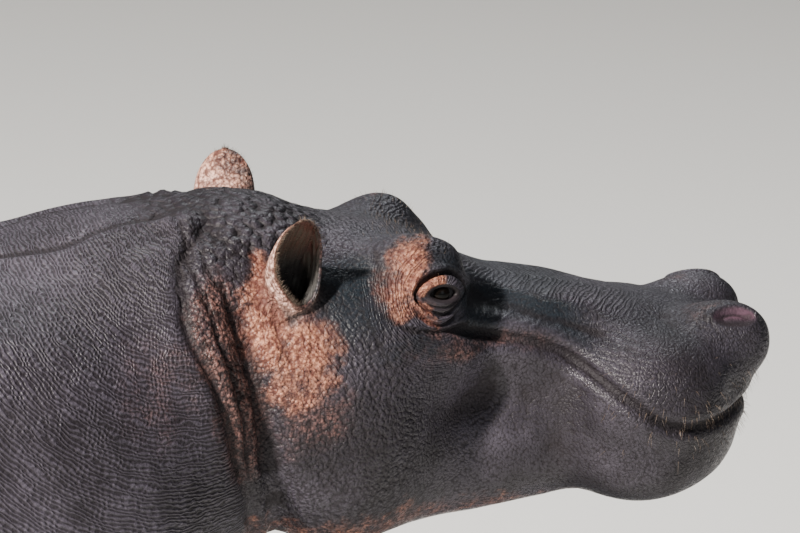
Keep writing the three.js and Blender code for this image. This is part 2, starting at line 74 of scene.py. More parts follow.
def camera_axes():
    """Right, up and forward of a view turned towards the tail and tipped down: a direction and its cross products."""
    right_side, up = np.array([-1.0, 0, 0]), np.array([0, 0, 1.0])
    level = np.sin(TURN_BEHIND) * AHEAD - np.cos(TURN_BEHIND) * right_side
    look = np.cos(LOOK_DOWN) * level - np.sin(LOOK_DOWN) * up
    right = np.cos(TURN_BEHIND) * AHEAD + np.sin(TURN_BEHIND) * right_side
    return right, np.cross(right, look), look


def add_object(name, data):
    """A new object in the scene, at the origin."""
    thing = bpy.data.objects.new(name, data)
    bpy.context.collection.objects.link(thing)
    return thing


def add_camera():
    right, up, look = camera_axes()
    eye = np.array([-EYE[0] - EYE_SHOWS_OUT, EYE[1] - ORIGIN_STATION, EYE[2]])
    aim = eye + (AIM_RIGHT * right + AIM_UP * up) * MM_PER_UNIT
    camera = add_object("camera", bpy.data.cameras.new("camera"))
    camera.data.sensor_width = SENSOR_WIDTH
    camera.data.lens = SENSOR_WIDTH * VIEW_DISTANCE / (MM_PER_UNIT * FRAME_WIDTH)
    camera.data.clip_end = 200.0
    place = Matrix([[*row, 0] for row in np.column_stack([right, up, -look]).tolist()] + [[0, 0, 0, 1]])
    camera.matrix_world = Matrix.Translation(Vector((aim - look * VIEW_DISTANCE) / 1000)) @ place
    bpy.context.scene.camera = camera
    return camera


camera = add_camera()
print("camera:", [round(v, 2) for v in camera.location], "lens", round(camera.data.lens), "mm")

# %% [markdown]
# ## Small maths
#
# A few shapes of curve are used again and again: a bell, a ramp, a soft step, and a smooth union, which is the
# lower of two distances with the corner between them rounded off.


# %% Curves and smooth unions
def bell(v):
    """exp(-v squared): 1 in the middle, and near 0 beyond 2."""
    return np.exp(-v * v)


def ramp(v, start, end):
    """0 at start and 1 at end, straight between them."""
    return np.clip((v - start) / (end - start), 0, 1)


def soft_step(v, start, end):
    """A ramp with level ends: 3 t squared - 2 t cubed."""
    t = ramp(v, start, end)
    return t * t * (3 - 2 * t)


def mix(a, b, t):
    return a + (b - a) * t


def join(a, b, k):
    """Smooth union: min(a, b) - k h squared / 4, with h = max(k - |a - b|, 0) / k."""
    h = np.maximum(k - np.abs(a - b), 0) / k
    return np.minimum(a, b) - 0.25 * h * h * k


def rows_at(rows, at):
    """A smooth curve through [station, value, ...] rows.

    The spans are cubic Hermite, and the slope at a row is that from the row before it to the row after it.
    """
    rows = np.asarray(rows, float)
    at = np.clip(at, rows[0, 0], rows[-1, 0])
    i = np.clip(np.searchsorted(rows[:, 0], at, side="right") - 1, 0, len(rows) - 2)
    before, after = np.maximum(np.arange(len(rows)) - 1, 0), np.minimum(np.arange(len(rows)) + 1, len(rows) - 1)
    slopes = (rows[after, 1:] - rows[before, 1:]) / (rows[after, :1] - rows[before, :1])
    span = rows[i + 1, 0] - rows[i, 0]
    t = (at - rows[i, 0]) / span
    parts = [2 * t**3 - 3 * t**2 + 1, (t**3 - 2 * t**2 + t) * span, 3 * t**2 - 2 * t**3, (t**3 - t**2) * span]
    ends = [rows[i, 1:], slopes[i], rows[i + 1, 1:], slopes[i + 1]]
    return sum(part[:, None] * end for part, end in zip(parts, ends)).T


def over_line(rows, s, z):
    """How far a point lies above a line given as rows of station and height."""
    return z - rows_at(rows, s)[0]


def behind_line(rows, s, z):
    """How far a point lies behind a line given as rows of height and station."""
    return s - rows_at(rows, z)[0]


print("smooth union of 3 and 4 over 10:", join(3.0, 4.0, 10.0))

# %% [markdown]
# ## Noise
#
# Living skin is never regular. Two kinds of noise are used. The first is smooth value noise: a random number at
# each point of a lattice, blended between. The second is a cell noise: one seed placed at random in each lattice
# cell, and the distance to the nearest seed, which gives pebbles. Both use a hash, so that every run is alike.


# %% Noise functions
def hashed(cell, seed):
    """A repeatable number from 0 to 1 for each lattice point: large odd products, mixed by xor and shifts."""
    c = cell.astype(np.int64).astype(np.uint32)
    n = c[..., 0] * np.uint32(73856093) ^ c[..., 1] * np.uint32(19349663) ^ c[..., 2] * np.uint32(83492791)
    n = (n ^ np.uint32(seed * 97 + 13)) * np.uint32(2654435761)
    n = (n ^ (n >> np.uint32(15))) * np.uint32(2246822519)
    return ((n ^ (n >> np.uint32(13))) & np.uint32(0xFFFFFF)) / float(0xFFFFFF)


def value_noise(p, size, seed=0):
    """Smooth noise from -1 to 1 with lumps about size across.

    It is the hash at the eight corners of a lattice cell, blended by 3 t squared - 2 t cubed.
    """
    q = p / size
    base = np.floor(q)
    t = q - base
    t = t * t * (3 - 2 * t)
    total = np.zeros(len(q))
    for corner in np.ndindex(2, 2, 2):
        weight = np.prod(np.where(np.array(corner), t, 1 - t), axis=1)
        total += weight * hashed(base + corner, seed)
    return total * 2 - 1


def layered_noise(p, size, layers=3, seed=0):
    """Value noise at size, half of it, a quarter of it and so on, each layer half as strong."""
    return sum(value_noise(p, size / 2**n, seed + n) / 2**n for n in range(layers)) / (2 - 0.5 ** (layers - 1))


def noise_push(p, size, seed, by):
    """A push of up to by in each direction: three smooth noises with seeds in a row."""
    return np.stack([value_noise(p, size, seed + k) for k in range(3)], axis=1) * by


def one_side(p):
    """The points with x made positive, since both sides of the animal are described once."""
    return np.stack([np.abs(p[:, 0]), p[:, 1], p[:, 2]], axis=1)


def pebbles(p, size, seed=0):
    """Distance to the nearest of random seeds, one in each cell of a lattice, as a share of size."""
    q = p / size
    base = np.floor(q)
    near = np.full(len(q), 9.0)
    for corner in np.ndindex(3, 3, 3):
        cell = base + np.array(corner) - 1
        seat = cell + np.stack([hashed(cell, seed + k) for k in range(3)], axis=1)
        near = np.minimum(near, np.linalg.norm(q - seat, axis=1))
    return near


print("noise at one point:", value_noise(np.array([[10.0, 20.0, 30.0]]), 40).round(3))

# %% [markdown]
# ## The body as a distance
#
# The trunk is a barrel with an egg-shaped section that changes along the back. Onto it are joined the masses
# that an anatomist would name: muzzle, jaw, cranium, brow, shoulder, haunch. Each is a rounded block. Four legs
# of tapered rods with toes, and a flat tail, are joined in the same way.

# %% Numbers of the body
RUMP_STATION, RUMP_CURVE_FROM, RUMP_ROUND, BARREL_ROUND = 3220.0, 2640.0, 2.3, 2.25
# Station, top, bottom, half width, height of the widest line.
BARREL = [
    [600, 1325, 990, 150, 1170],
    [740, 1388, 905, 222, 1125],
    [830, 1400, 855, 284, 1090],
    [960, 1394, 815, 310, 1060],
    [1130, 1362, 745, 345, 1030],
    [1300, 1370, 640, 402, 985],
    [1600, 1402, 480, 470, 920],
    [1950, 1420, 370, 522, 860],
    [2300, 1428, 335, 545, 840],
    [2600, 1414, 362, 505, 865],
    [2900, 1372, 450, 440, 915],
    [3220, 1310, 620, 400, 980],
]
# The barrel fades out inside the head: from this station to that one, by up to so much.
BARREL_FADE = (600.0, 700.0, 90.0)
# Name: centre, half sizes, how square it is, the pitch of its front in degrees, the width of its blend.
TRUNK_MASSES = {
    "shoulder": ([288, 1240, 950], [150, 330, 350], 2.1, 0, 160),
    "brisket": ([0, 1190, 760], [240, 260, 190], 2.1, 0, 160),
    "haunch": ([296, 2740, 850], [200, 350, 410], 2.1, 0, 150),
}
HEAD_MASSES = {
    "nasal bridge": ([0, 340, 1203], [92, 285, 62], 3.1, -12, 1),
    "upper muzzle": ([0, 140, 1114], [176, 150, 90], 2.7, 4, 40),
    "tusk swelling": ([150, 160, 1116], [84, 112, 78], 2.1, 0, 40),
    "nostril mound": ([84, 38, 1164], [55, 76, 62], 2.15, 0, 30),
    "upper lip": ([96, 330, 1178], [52, 170, 60], 2.1, -10, 60),
    "jaw bar": ([0, 380, 1036], [150, 350, 112], 2.5, 8, 60),
    "chin": ([0, 120, 1028], [160, 114, 90], 2.4, 0, 60),
    "lower lip": ([132, 172, 1032], [68, 96, 82], 2.1, 0, 60),
    "cranium": ([0, 630, 1214], [176, 236, 156], 2.3, -6, 60),
    "poll": ([0, 756, 1268], [152, 128, 128], 2.2, 0, 60),
    "jowl": ([118, 640, 1104], [128, 150, 190], 2.2, 0, 90),
    "cheek bone": ([132, 548, 1212], [62, 120, 62], 2, -8, 60),
    "brow": ([114, 512, 1289], [62, 79, 78], 2, 0, 36),
}
MOUTH_LINE = [[-20, 1080], [80, 1076], [155, 1084], [225, 1134], [305, 1188], [400, 1214]]
MOUTH_LINE += [[490, 1236], [620, 1216], [800, 1140], [1100, 1050], [2750, 930]]
LIP_CORNER, LIP_FADE, LIP_DEPTH, LIP_HALF = 496.0, 60.0, 10.0, 9.0
CREASE = {"s": 785.0, "z": 1260.0, "lean": 12.0, "depth": 16.0, "half": 22.0, "top": 1345.0, "fade": 70.0}
# Each leg bone: from, to, radii. Then the leg's place and its stride on each side.
FORE_BONES = [
    ([-12, -30, 900], [14, 30, 560], (135, 134)),
    ([14, 30, 560], [0, 0, 270], (134, 94)),
    ([0, 0, 270], [0, -14, 90], (94, 100)),
]
HIND_BONES = [
    ([0, -50, 850], [10, -96, 600], (180, 156)),
    ([10, -96, 600], [4, 30, 350], (156, 98)),
    ([4, 30, 350], [0, -6, 90], (90, 96)),
]
LEGS = {
    "fore_left": (FORE_BONES, 1, 300, 1225, -36),
    "fore_right": (FORE_BONES, -1, 300, 1225, 40),
    "hind_left": (HIND_BONES, 1, 285, 2770, 46),
    "hind_right": (HIND_BONES, -1, 285, 2770, -54),
}
LEG_TOP, LEG_BLEND = 800.0, 70.0
FOOT = ([0, -22, 62], [104, 122, 84], 2.3, 0, 0)
TOE = ([0, 0, 40], [38, 56, 48], 2.2, 0, 14)
TOE_ANGLES = np.radians([-57.0, -19.0, 19.0, 57.0])
TOE_REACH, TOE_FAN_MIDDLE = 92.0, -26.0
# How far each toe stands from the middle of its fan, the outer ones a little nearer.
TOE_REACHES = TOE_REACH * (1 - 0.1 * np.abs(np.sin(TOE_ANGLES)))
# Tail: station, height, half width, half depth.
TAIL = [[3120, 1130, 62, 52], [3196, 1060, 50, 42], [3226, 960, 37, 28], [3234, 860, 29, 20], [3237, 770, 27, 14]]
TAIL_TIP, TAIL_TIP_SIZE = [3238, 700], [21, 9]
TAIL_BLEND, FLOOR_BLEND = 34.0, 10.0
LID_SHELL, LID_BLEND = 29.5, 24.0
# Joining is worked out only near each form: so far round a mass; half width, half length and height of a leg's room;
# half width, front, bottom and top of the tail's; and so far round the eye.
REACH_OF_A_MASS = 30.0
LEG_ROOM = (290.0, 330.0, 1080.0)
TAIL_ROOM = (120.0, 3040.0, 640.0, 1230.0)
EYE_ROOM = 90.0
print("masses:", len(TRUNK_MASSES) + len(HEAD_MASSES), "legs:", len(LEGS))


# %% The distance functions
def block_distance(block, x, s, z):
    """(g - 1) / |gradient of g|, where g is the block's own norm: (|x/a|^n + |s/b|^n + |z/c|^n)^(1/n)."""
    at, size, n, pitch, _ = block
    turn = np.radians(pitch)
    ds, dz = s - at[1], z - at[2]
    local = [np.abs(x) - at[0], ds * np.cos(turn) - dz * np.sin(turn), ds * np.sin(turn) + dz * np.cos(turn)]
    shares = [np.maximum(np.abs(v / half), 1e-4) for v, half in zip(local, size)]
    powers = [share ** (n - 1) for share in shares]
    g = sum(power * share for power, share in zip(powers, shares)) ** (1 / n)
    slope = g ** (1 - n) * np.sqrt(sum((power / half) ** 2 for power, half in zip(powers, size)))
    return (g - 1) / np.maximum(slope, 1e-6)


def barrel_distance(x, s, z):
    """Distance from the barrel along the line from its middle: reach (1 - 1/g). A rounded end closes the rump."""
    top, bottom, half, middle = rows_at(BARREL, s)
    past = ramp(s, RUMP_CURVE_FROM, RUMP_STATION)
    end = np.maximum(1 - past**RUMP_ROUND, 1e-6) ** (1 / RUMP_ROUND)
    dz = z - middle
    reach = np.hypot(x, dz)
    beyond = np.maximum(np.maximum(s - RUMP_STATION, BARREL[0][0] - s), 0)
    tall = np.where(dz > 0, top - middle, middle - bottom) * end
    g = (np.abs(x / (half * end)) ** BARREL_ROUND + np.abs(dz / tall) ** BARREL_ROUND) ** (1 / BARREL_ROUND)
    inside = np.where(g < 1e-6, -tall, reach * (1 - 1 / np.maximum(g, 1e-6)))
    inside = inside + BARREL_FADE[2] * (1 - soft_step(s, *BARREL_FADE[:2]))
    return np.where((end < 1e-3) | (beyond > 0), np.hypot(reach, beyond), inside)


def groove_depth(s, z):
    """A bell across the line between the lips, and another across the crease behind the jowl."""
    lips = LIP_DEPTH * bell(over_line(MOUTH_LINE, s, z) / LIP_HALF) * ramp(s, LIP_CORNER, LIP_CORNER - LIP_FADE)
    crease_at = CREASE["s"] + (z - CREASE["z"]) * np.tan(np.radians(CREASE["lean"]))
    low = ramp(z, CREASE["top"], CREASE["top"] - CREASE["fade"])
    return lips + CREASE["depth"] * bell((s - crease_at) / CREASE["half"]) * low


def rod_distance(bone, x, s, z):
    """Distance from a tapered rod: to the nearest point of its line, less the radius there."""
    start, end, radii = np.array(bone[0], float), np.array(bone[1], float), bone[2]
    along = end - start
    p = np.stack([x, s, z], axis=-1) - start
    t = np.clip(p @ along / (along @ along), 0, 1)
    return np.linalg.norm(p - t[:, None] * along, axis=-1) - mix(radii[0], radii[1], t)


def toe_frame(i, x, s):
    """A point in the frame of toe i: sideways and along the toe, which stands on a fan in front of the foot."""
    angle, reach = TOE_ANGLES[i], TOE_REACHES[i]
    dx, ds = x - reach * np.sin(angle), s - (TOE_FAN_MIDDLE - reach * np.cos(angle))
    return dx * np.cos(angle) + ds * np.sin(angle), -dx * np.sin(angle) + ds * np.cos(angle)


def into_leg(leg, p):
    """A point in a leg's own frame: x outwards from its side, s behind its joint, less the stride it has taken."""
    _, side, out, station, stride = leg
    swing = stride * np.clip((LEG_TOP - p[:, 2]) / LEG_TOP, 0, 1)
    return side * p[:, 0] - out, p[:, 1] - station - swing, p[:, 2]


def leg_distance(leg, p):
    x, s, z = into_leg(leg, p)
    d = rod_distance(leg[0][0], x, s, z)
    for bone in leg[0][1:]:
        d = join(d, rod_distance(bone, x, s, z), LEG_BLEND)
    d = join(d, block_distance(FOOT, x, s, z), LEG_BLEND)
    for i in range(len(TOE_ANGLES)):
        sideways, along = toe_frame(i, x, s)
        d = join(d, block_distance(TOE, sideways, along, z), TOE[4])
    return d


def tail_distance(p):
    """A flat tapered rod that hangs along the rump: the ellipse's own norm, less 1, times its half depth."""
    x, s, z = p.T
    rows = [[row[1], row[0], row[2], row[3]] for row in [*TAIL, TAIL_TIP + TAIL_TIP_SIZE]][::-1]
    middle, wide, deep = rows_at(rows, z)
    over = np.maximum(rows[0][0] - z, 0) + np.maximum(z - rows[-1][0], 0)
    g = np.sqrt((x / wide) ** 2 + ((s - middle) / deep) ** 2 + (over / deep) ** 2)
    return (g - 1) * deep


def skin_distance(p):
    """The whole animal: barrel, masses, legs, tail and lids by smooth union, less the grooves, ended by the floor."""
    x, s, z = p.T
    d = barrel_distance(x, s, z)
    for at, size, square, pitch, blend in [*TRUNK_MASSES.values(), *HEAD_MASSES.values()]:
        reach = np.array(size) + blend + REACH_OF_A_MASS + 0.25 * max(size) * (pitch != 0)
        near = (np.abs(one_side(p) - at) < reach).all(axis=1)
        block = (at, size, square, pitch, blend)
        d[near] = join(d[near], block_distance(block, x[near], s[near], z[near]), blend)
    d += groove_depth(s, z)
    for leg in LEGS.values():
        near = (z < LEG_ROOM[2]) & (np.abs(s - leg[3]) < LEG_ROOM[1]) & (np.abs(leg[1] * x - leg[2]) < LEG_ROOM[0])
        d[near] = join(d[near], leg_distance(leg, p[near]), LEG_BLEND)
    near = (np.abs(x) < TAIL_ROOM[0]) & (s > TAIL_ROOM[1]) & (z > TAIL_ROOM[2]) & (z < TAIL_ROOM[3])
    d[near] = join(d[near], tail_distance(p[near]), TAIL_BLEND)
    ball = np.linalg.norm(one_side(p) - EYE, axis=1)
    near = ball < EYE_ROOM
    d[near] = join(d[near], ball[near] - LID_SHELL, LID_BLEND)
    return -join(-d, z, FLOOR_BLEND)


def slope_of(p, step=1.5):
    """Value and gradient of the distance, from four points at the corners of a small tetrahedron."""
    corners = np.array([[1, -1, -1], [-1, -1, 1], [-1, 1, -1], [1, 1, 1.0]])
    values = [skin_distance(p + step * corner) for corner in corners]
    slope = sum(value[:, None] * corner for value, corner in zip(values, corners)) / (4 * step)
    return sum(values) / 4, slope


def settle(p, rounds=2, limit=12.0):
    """Newton's way onto the skin: p - d * slope / |slope| squared, each step held to a limit."""
    for _ in range(rounds):
        d, slope = slope_of(p)
        move = d[:, None] * slope / np.maximum((slope**2).sum(axis=1, keepdims=True), 0.05)
        far = np.linalg.norm(move, axis=1, keepdims=True)
        p = p - move * np.minimum(1, limit / np.maximum(far, 1e-9))
    return p


def unit(v):
    return v / np.maximum(np.linalg.norm(v, axis=-1, keepdims=True), 1e-9)


print("distance at the eye's middle:", skin_distance(np.array([EYE]))[0].round(2))

# %% [markdown]
# ## From the distance to a mesh
#
# A surface net turns a distance into a mesh: the space is cut into small boxes, each box that the skin passes
# through gets one corner of the mesh, and four boxes around an edge that the skin crosses make one face. The
# faces are all four-sided, so they can be split again where the skin needs more detail, as on the head.


# %% Surface net
def surface_net(low, high, step):
    """One point per crossed box, at the mean of the places where the distance changes sign along its edges."""
    axes = [np.arange(a, b + step, step) for a, b in zip(low, high)]
    field = np.concatenate(
        [
            skin_distance(np.stack([g.ravel() for g in np.meshgrid([x], *axes[1:], indexing="ij")], axis=1))
            for x in axes[0]
        ]
    ).reshape([len(a) for a in axes])
    corners = list(np.ndindex(2, 2, 2))
    shape = [n - 1 for n in field.shape]
    at = {c: field[c[0] : c[0] + shape[0], c[1] : c[1] + shape[1], c[2] : c[2] + shape[2]] for c in corners}
    below = sum((at[c] < 0).astype(int) for c in corners)
    crossed = (below > 0) & (below < 8)
    number = np.full(shape, -1)
    number[crossed] = np.arange(crossed.sum())
    total, hits = np.zeros((crossed.sum(), 3)), np.zeros(crossed.sum())
    for a in corners:
        for axis in range(3):
            if a[axis]:
                continue
            b = tuple(1 if k == axis else a[k] for k in range(3))
            fa, fb = at[a][crossed], at[b][crossed]
            change = (fa < 0) != (fb < 0)
            t = np.where(change, fa / np.where(change, fa - fb, 1), 0)
            total += change[:, None] * (np.array(a) + t[:, None] * (np.array(b) - a))
            hits += change
    points = np.array(low) + step * (np.argwhere(crossed) + total / hits[:, None])
    faces = []
    for axis in range(3):
        u, v = [(1, 2), (2, 0), (0, 1)][axis]
        first = [slice(1, n - 1) for n in field.shape]
        second = list(first)
        first[axis], second[axis] = slice(0, field.shape[axis] - 1), slice(1, field.shape[axis])
        a, b = field[tuple(first)] < 0, field[tuple(second)] < 0
        where = np.argwhere(a != b)
        outward = (a & ~b)[tuple(where.T)]
        where[:, [u, v]] += 1
        round_edge = np.zeros((4, 3), int)
        round_edge[:, [u, v]] = [[0, 0], [-1, 0], [-1, -1], [0, -1]]
        quads = number[tuple((where[:, None] + round_edge).T)].T
        quads[~outward] = quads[~outward][:, ::-1]
        faces.append(quads)
    return points, np.concatenate(faces)


def edges_of(faces):
    """Each side of each face once, and for every face which sides they are."""
    sides = np.stack([faces, np.roll(faces, -1, axis=1)], axis=2)
    ordered = np.sort(sides.reshape(-1, 2), axis=1)
    edges, index = np.unique(ordered, axis=0, return_inverse=True)
    return edges, index.reshape(faces.shape)


def all_edges():
    return np.unique(np.concatenate([edges_of(faces)[0] for faces in (quads, fans) if len(faces)]), axis=0)


def neighbour_mean(points, edges):
    """The mean of the points that each point shares a side with."""
    degree = np.bincount(edges.ravel(), minlength=len(points))[:, None]
    sums = [
        np.bincount(edges[:, 0], points[edges[:, 1], k], len(points))
        + np.bincount(edges[:, 1], points[edges[:, 0], k], len(points))
        for k in range(3)
    ]
    return np.where(degree > 0, np.stack(sums, axis=1) / np.maximum(degree, 1), points)


def spread_out(points, rounds, share=0.5):
    """Moves each point part of the way to the mean of its neighbours, round by round, back on the skin each time."""
    edges = all_edges()
    for _ in range(rounds):
        points = settle(mix(points, neighbour_mean(points, edges), share), rounds=1)
    return points


def split_faces(points, quads, fans, chosen):
    """Cuts each chosen four-sided face into four.

    A neighbour that shares a cut side becomes a fan of triangles round its own middle.
    """
    edges, sides = edges_of(quads)
    cut = np.zeros(len(edges), bool)
    cut[sides[chosen].ravel()] = True
    middle = np.full(len(edges), -1)
    middle[cut] = len(points) + np.arange(cut.sum())
    points = np.concatenate([points, points[edges[cut]].mean(axis=1)])
    beside = ~chosen & cut[sides].any(axis=1)
    centre = np.full(len(quads), -1)
    opened = chosen | beside
    centre[opened] = len(points) + np.arange(opened.sum())
    points = np.concatenate([points, points[quads[opened]].mean(axis=1)])
    q, m, c = quads[chosen], middle[sides[chosen]], centre[chosen]
    small = [np.stack([q[:, k], m[:, k], c, m[:, k - 1]], axis=1) for k in range(4)]
    q, m, c = quads[beside], middle[sides[beside]], centre[beside]
    for k in range(4):
        here, there, halfway = q[:, k], q[:, (k + 1) % 4], m[:, k]
        whole, parted = halfway < 0, halfway >= 0
        for a, b, rows in ((here, there, whole), (here, halfway, parted), (halfway, there, parted)):
            fans = np.concatenate([fans, np.stack([a, b, c], axis=1)[rows]])
    return points, np.concatenate([quads[~opened], *small]), fans


# %% The skin in three grades
NET_LOW, NET_HIGH, NET_STEP = [-637, -77, -31], [640, 3320, 1500], 24.8
points, quads = surface_net(NET_LOW, NET_HIGH, NET_STEP)
fans = np.zeros((0, 3), int)
points = spread_out(points, rounds=4)
print("net:", len(points), "points,", len(quads), "faces")


def middles():
    return points[quads].mean(axis=1)


def grade_one(m):
    """Halved: the head, the neck, the feet, the tail and the folds where the legs meet the body."""
    x, s, z = np.abs(m[:, 0]), m[:, 1], m[:, 2]
    return (s < 1240) & (z > 760) | (s < 960) | (z < 140) | (s > 3090) & (x < 110) & (z < 1180)


def grade_two(m):
    """Halved again: the head's top and sides and the front of the neck."""
    x, s, z = np.abs(m[:, 0]), m[:, 1], m[:, 2]
    return (s < 950) & (z > 1050 + 0.1 * np.maximum(s - 500, 0)) | (s < 1100) & (z > 1240) & (x < 260)


for grade in (grade_one, grade_two):
    points, quads, fans = split_faces(points, quads, fans, grade(middles()))
    points = settle(points, rounds=2)
    print(grade.__name__, len(points), "points,", 2 * len(quads) + len(fans), "triangles")
points = spread_out(points, rounds=1, share=0.4)

# %% [markdown]
# ## Growing an eye, an ear and a nostril out of the skin
#
# These three need rows of faces that run round them, so that a lid has a clean edge and an ear a thin rim. For
# each, the faces inside an oval are taken out, and rings of new points are grown inwards from the border of the
# hole until they meet at a pole. The first ring is the border itself, so the skin stays in one piece.


# %% Holes and rings
# Which part each point belongs to: 0 plain skin, then the rows of the patches, told by name.
LIDS, LID_RIM, EAR_BACK, EAR_RIM, EAR_CUP, NOSE = 1, 2, 3, 4, 5, 6
part = np.zeros(len(points), int)
# The share of the later folds and pebbles that each point takes: all of it on plain skin, less inside the patches.
taken_up = np.ones(len(points))


def cut_hole(middle, axes, size):
    """Takes out the faces whose middles lie in an oval across the first of three axes.

    It returns the border's points in order.
    """
    global quads
    across = (middles() - middle) @ np.array(axes).T
    for grow in (1.0, 1.03, 0.97, 1.06, 0.94, 1.09):
        oval = np.hypot(across[:, 1] / (size[0] * grow), across[:, 2] / (size[1] * grow))
        taken = (oval < 1) & (np.abs(across[:, 0]) < 90)
        sides = np.stack([quads[taken], np.roll(quads[taken], -1, axis=1)], axis=2).reshape(-1, 2)
        _, index, count = np.unique(np.sort(sides, axis=1), axis=0, return_inverse=True, return_counts=True)
        border = sides[count[index.ravel()] == 1]
        after = dict(border.tolist())
        loop = [int(border[0, 0])]
        while after.get(loop[-1]) not in (None, loop[0]) and len(loop) <= len(border):
            loop.append(after[loop[-1]])
        if len(loop) == len(border) == len(after):
            quads = quads[~taken]
            return np.array(loop)
    raise RuntimeError("no clean hole")


def grow_rings(loop, rings, pole, parts, hand_over, double=False):
    """Adds rings of points inside a border, four-sided faces between them and triangles round the pole.

    parts names each ring's part, and hand_over says over how many rings the later folds fade out. With double,
    the first ring has two points for each one of the border.
    """
    global points, quads, fans, part, taken_up
    rings = np.asarray(rings)
    count, around = rings.shape[:2]
    part = np.concatenate([part, np.repeat(parts, around), parts[-1:]])
    shares = 1 - soft_step(np.arange(count) + 1.0, 0, hand_over)
    taken_up = np.concatenate([taken_up, np.repeat(shares, around), [0.0]])
    number = len(points) + np.arange(count * around).reshape(count, around)
    points = np.concatenate([points, rings.reshape(-1, 3), [pole]])
    if double:
        a, b, first = loop, np.roll(loop, -1), number[0]
        even, odd, beyond = first[0::2], first[1::2], np.roll(first[0::2], -1)
        triangles = [np.stack(t, axis=1) for t in ((a, odd, even), (a, b, odd), (b, beyond, odd))]
        fans = np.concatenate([fans, *triangles])
    else:
        number = np.concatenate([loop[None], number])
    near, far = number[:-1], number[1:]
    new = np.stack([near, np.roll(near, -1, axis=1), np.roll(far, -1, axis=1), far], axis=2)
    quads = np.concatenate([quads, new.reshape(-1, 4)])
    last = number[-1]
    tip = np.full(len(last), len(points) - 1)
    fans = np.concatenate([fans, np.stack([last, np.roll(last, -1), tip], axis=1)])


def ring_mean(values):
    """The mean of each value round a closed ring and the four on either side of it."""
    return sum(np.roll(values, k) for k in range(-4, 5)) / 9


def evened(angles):
    """Angles round a ring made almost even: an even turn plus the smoothed rest."""
    turned = np.unwrap(angles)
    sign = np.sign(turned[-1] - turned[0])
    even = sign * 2 * np.pi * np.arange(len(angles)) / len(angles)
    return even + ring_mean(turned - even)


def polar_rings(loop, middle, axes, shares, inner):
    """Rings across an axis, from a border of any shape to an inner outline.

    Radius and angle slide from one to the other as the share falls from 1 to 0.
    """
    local = (points[loop] - middle) @ np.array(axes).T
    radius, angle = np.hypot(local[:, 1], local[:, 2]), np.arctan2(local[:, 2], local[:, 1])
    smooth_angle = evened(angle)
    smooth_radius = ring_mean(radius)
    angle = smooth_angle + (angle - smooth_angle + np.pi) % (2 * np.pi) - np.pi
    found = []
    for k, share in enumerate(shares):
        rough = max(0.0, 1 - (k + 1) / 4)
        edge = inner(smooth_angle)
        r = mix(edge, smooth_radius, share) + (radius - smooth_radius) * rough
        found.append(np.stack([r, mix(smooth_angle, angle, rough)], axis=1))
    return np.array(found)


def onto_skin(start, direction, reach=70.0):
    """The place where a line meets the skin: halving between a point outside and one inside."""
    near, far = np.full(len(start), reach), np.full(len(start), -reach)
    for _ in range(15):
        half = (near + far) / 2
        out = skin_distance(start + half[:, None] * direction) > 0
        near, far = np.where(out, half, near), np.where(out, far, half)
    return start + near[:, None] * direction


# %% [markdown]
# ## Eyelids
#
# The eye of a hippopotamus sits in a raised ring of folds. A thick roll lies over the eyeball, with a deep fold
# above it. Under the eye lie a thin lid, a second ridge and a soft bag. All of them run together at the two
# corners. So the folds depend on the distance from the opening, measured along a line from its middle, and that
# distance is stretched near the corners.

# %% Eyelid numbers
EYE_OUT = unit(np.array([0.99, -0.085, 0.10]))
# The patch is grown across a line that lies between the way the eye looks and the way the brow bulges.
EYE_PATCH_OUT = unit(np.array([0.90, -0.30, 0.30]))
OPENING = {"front": 33.0, "rear": 27.5, "upper": 15.5, "lower": 12.0, "power": 1.7}
EYE_HOLE = (68.0, 56.0)
EYE_RINGS = (1 - np.linspace(0, 1, 31)[1:]) ** 1.1
# Height, distance from the opening and half width of each fold above and below the eye.
UPPER_FOLDS = [(4.8, 7.0, 6.0), (-11.5, 16.5, 2.7), (6.0, 24.5, 6.5)]
LOWER_FOLDS = [(1.2, 2.6, 2.2), (-2.2, 6.0, 1.6), (1.6, 10.0, 2.6), (-4.4, 15.5, 2.1), (3.8, 21, 4.2), (-6.0, 30, 3.6)]
# From the lid's outside to behind the eyeball: radius from the eye's middle, and how far inside the opening's line.
LID_EDGE = [(29.6, 1.0), (28.6, 1.9), (27.2, 2.3), (25.9, 1.8), (24.4, 0.0), (22.6, -3.0), (21.0, 2.0)]


def side_axes(out, side):
    """Three axes on one side of the animal: outwards, ahead along the skin, and the third across them."""
    out = np.array(out) * [side, 1, 1]
    ahead = unit(AHEAD - out * (AHEAD @ out))
    up = np.cross(out, ahead) * side
    return np.array([out, ahead, -up])


def opening(angle):
    """The opening's outline: |cos/length|^n + |sin/height|^n = 1/r^n, with pointed corners for n below 2."""
    n = OPENING["power"]
    tall = np.where(np.sin(angle) > 0, OPENING["upper"], OPENING["lower"])
    long = np.where(np.cos(angle) > 0, OPENING["front"], OPENING["rear"])
    return (np.abs(np.cos(angle) / long) ** n + np.abs(np.sin(angle) / tall) ** n) ** (-1 / n)


def lid_distance(radius, angle):
    """Distance outside the opening, stretched towards the corners, where the folds draw together.

    Above the front corner they spread instead.
    """
    rise = np.abs(np.sin(angle))
    corner = np.where(np.cos(angle) > 0, 0.28 + 0.72 * rise, 0.5 + 0.5 * rise**0.8)
    spread = soft_step(np.sin(angle), -0.2, 0.15) * soft_step(np.cos(angle), -0.05, 0.75)
    return (radius - opening(angle)) / mix(corner, 1.35, spread)


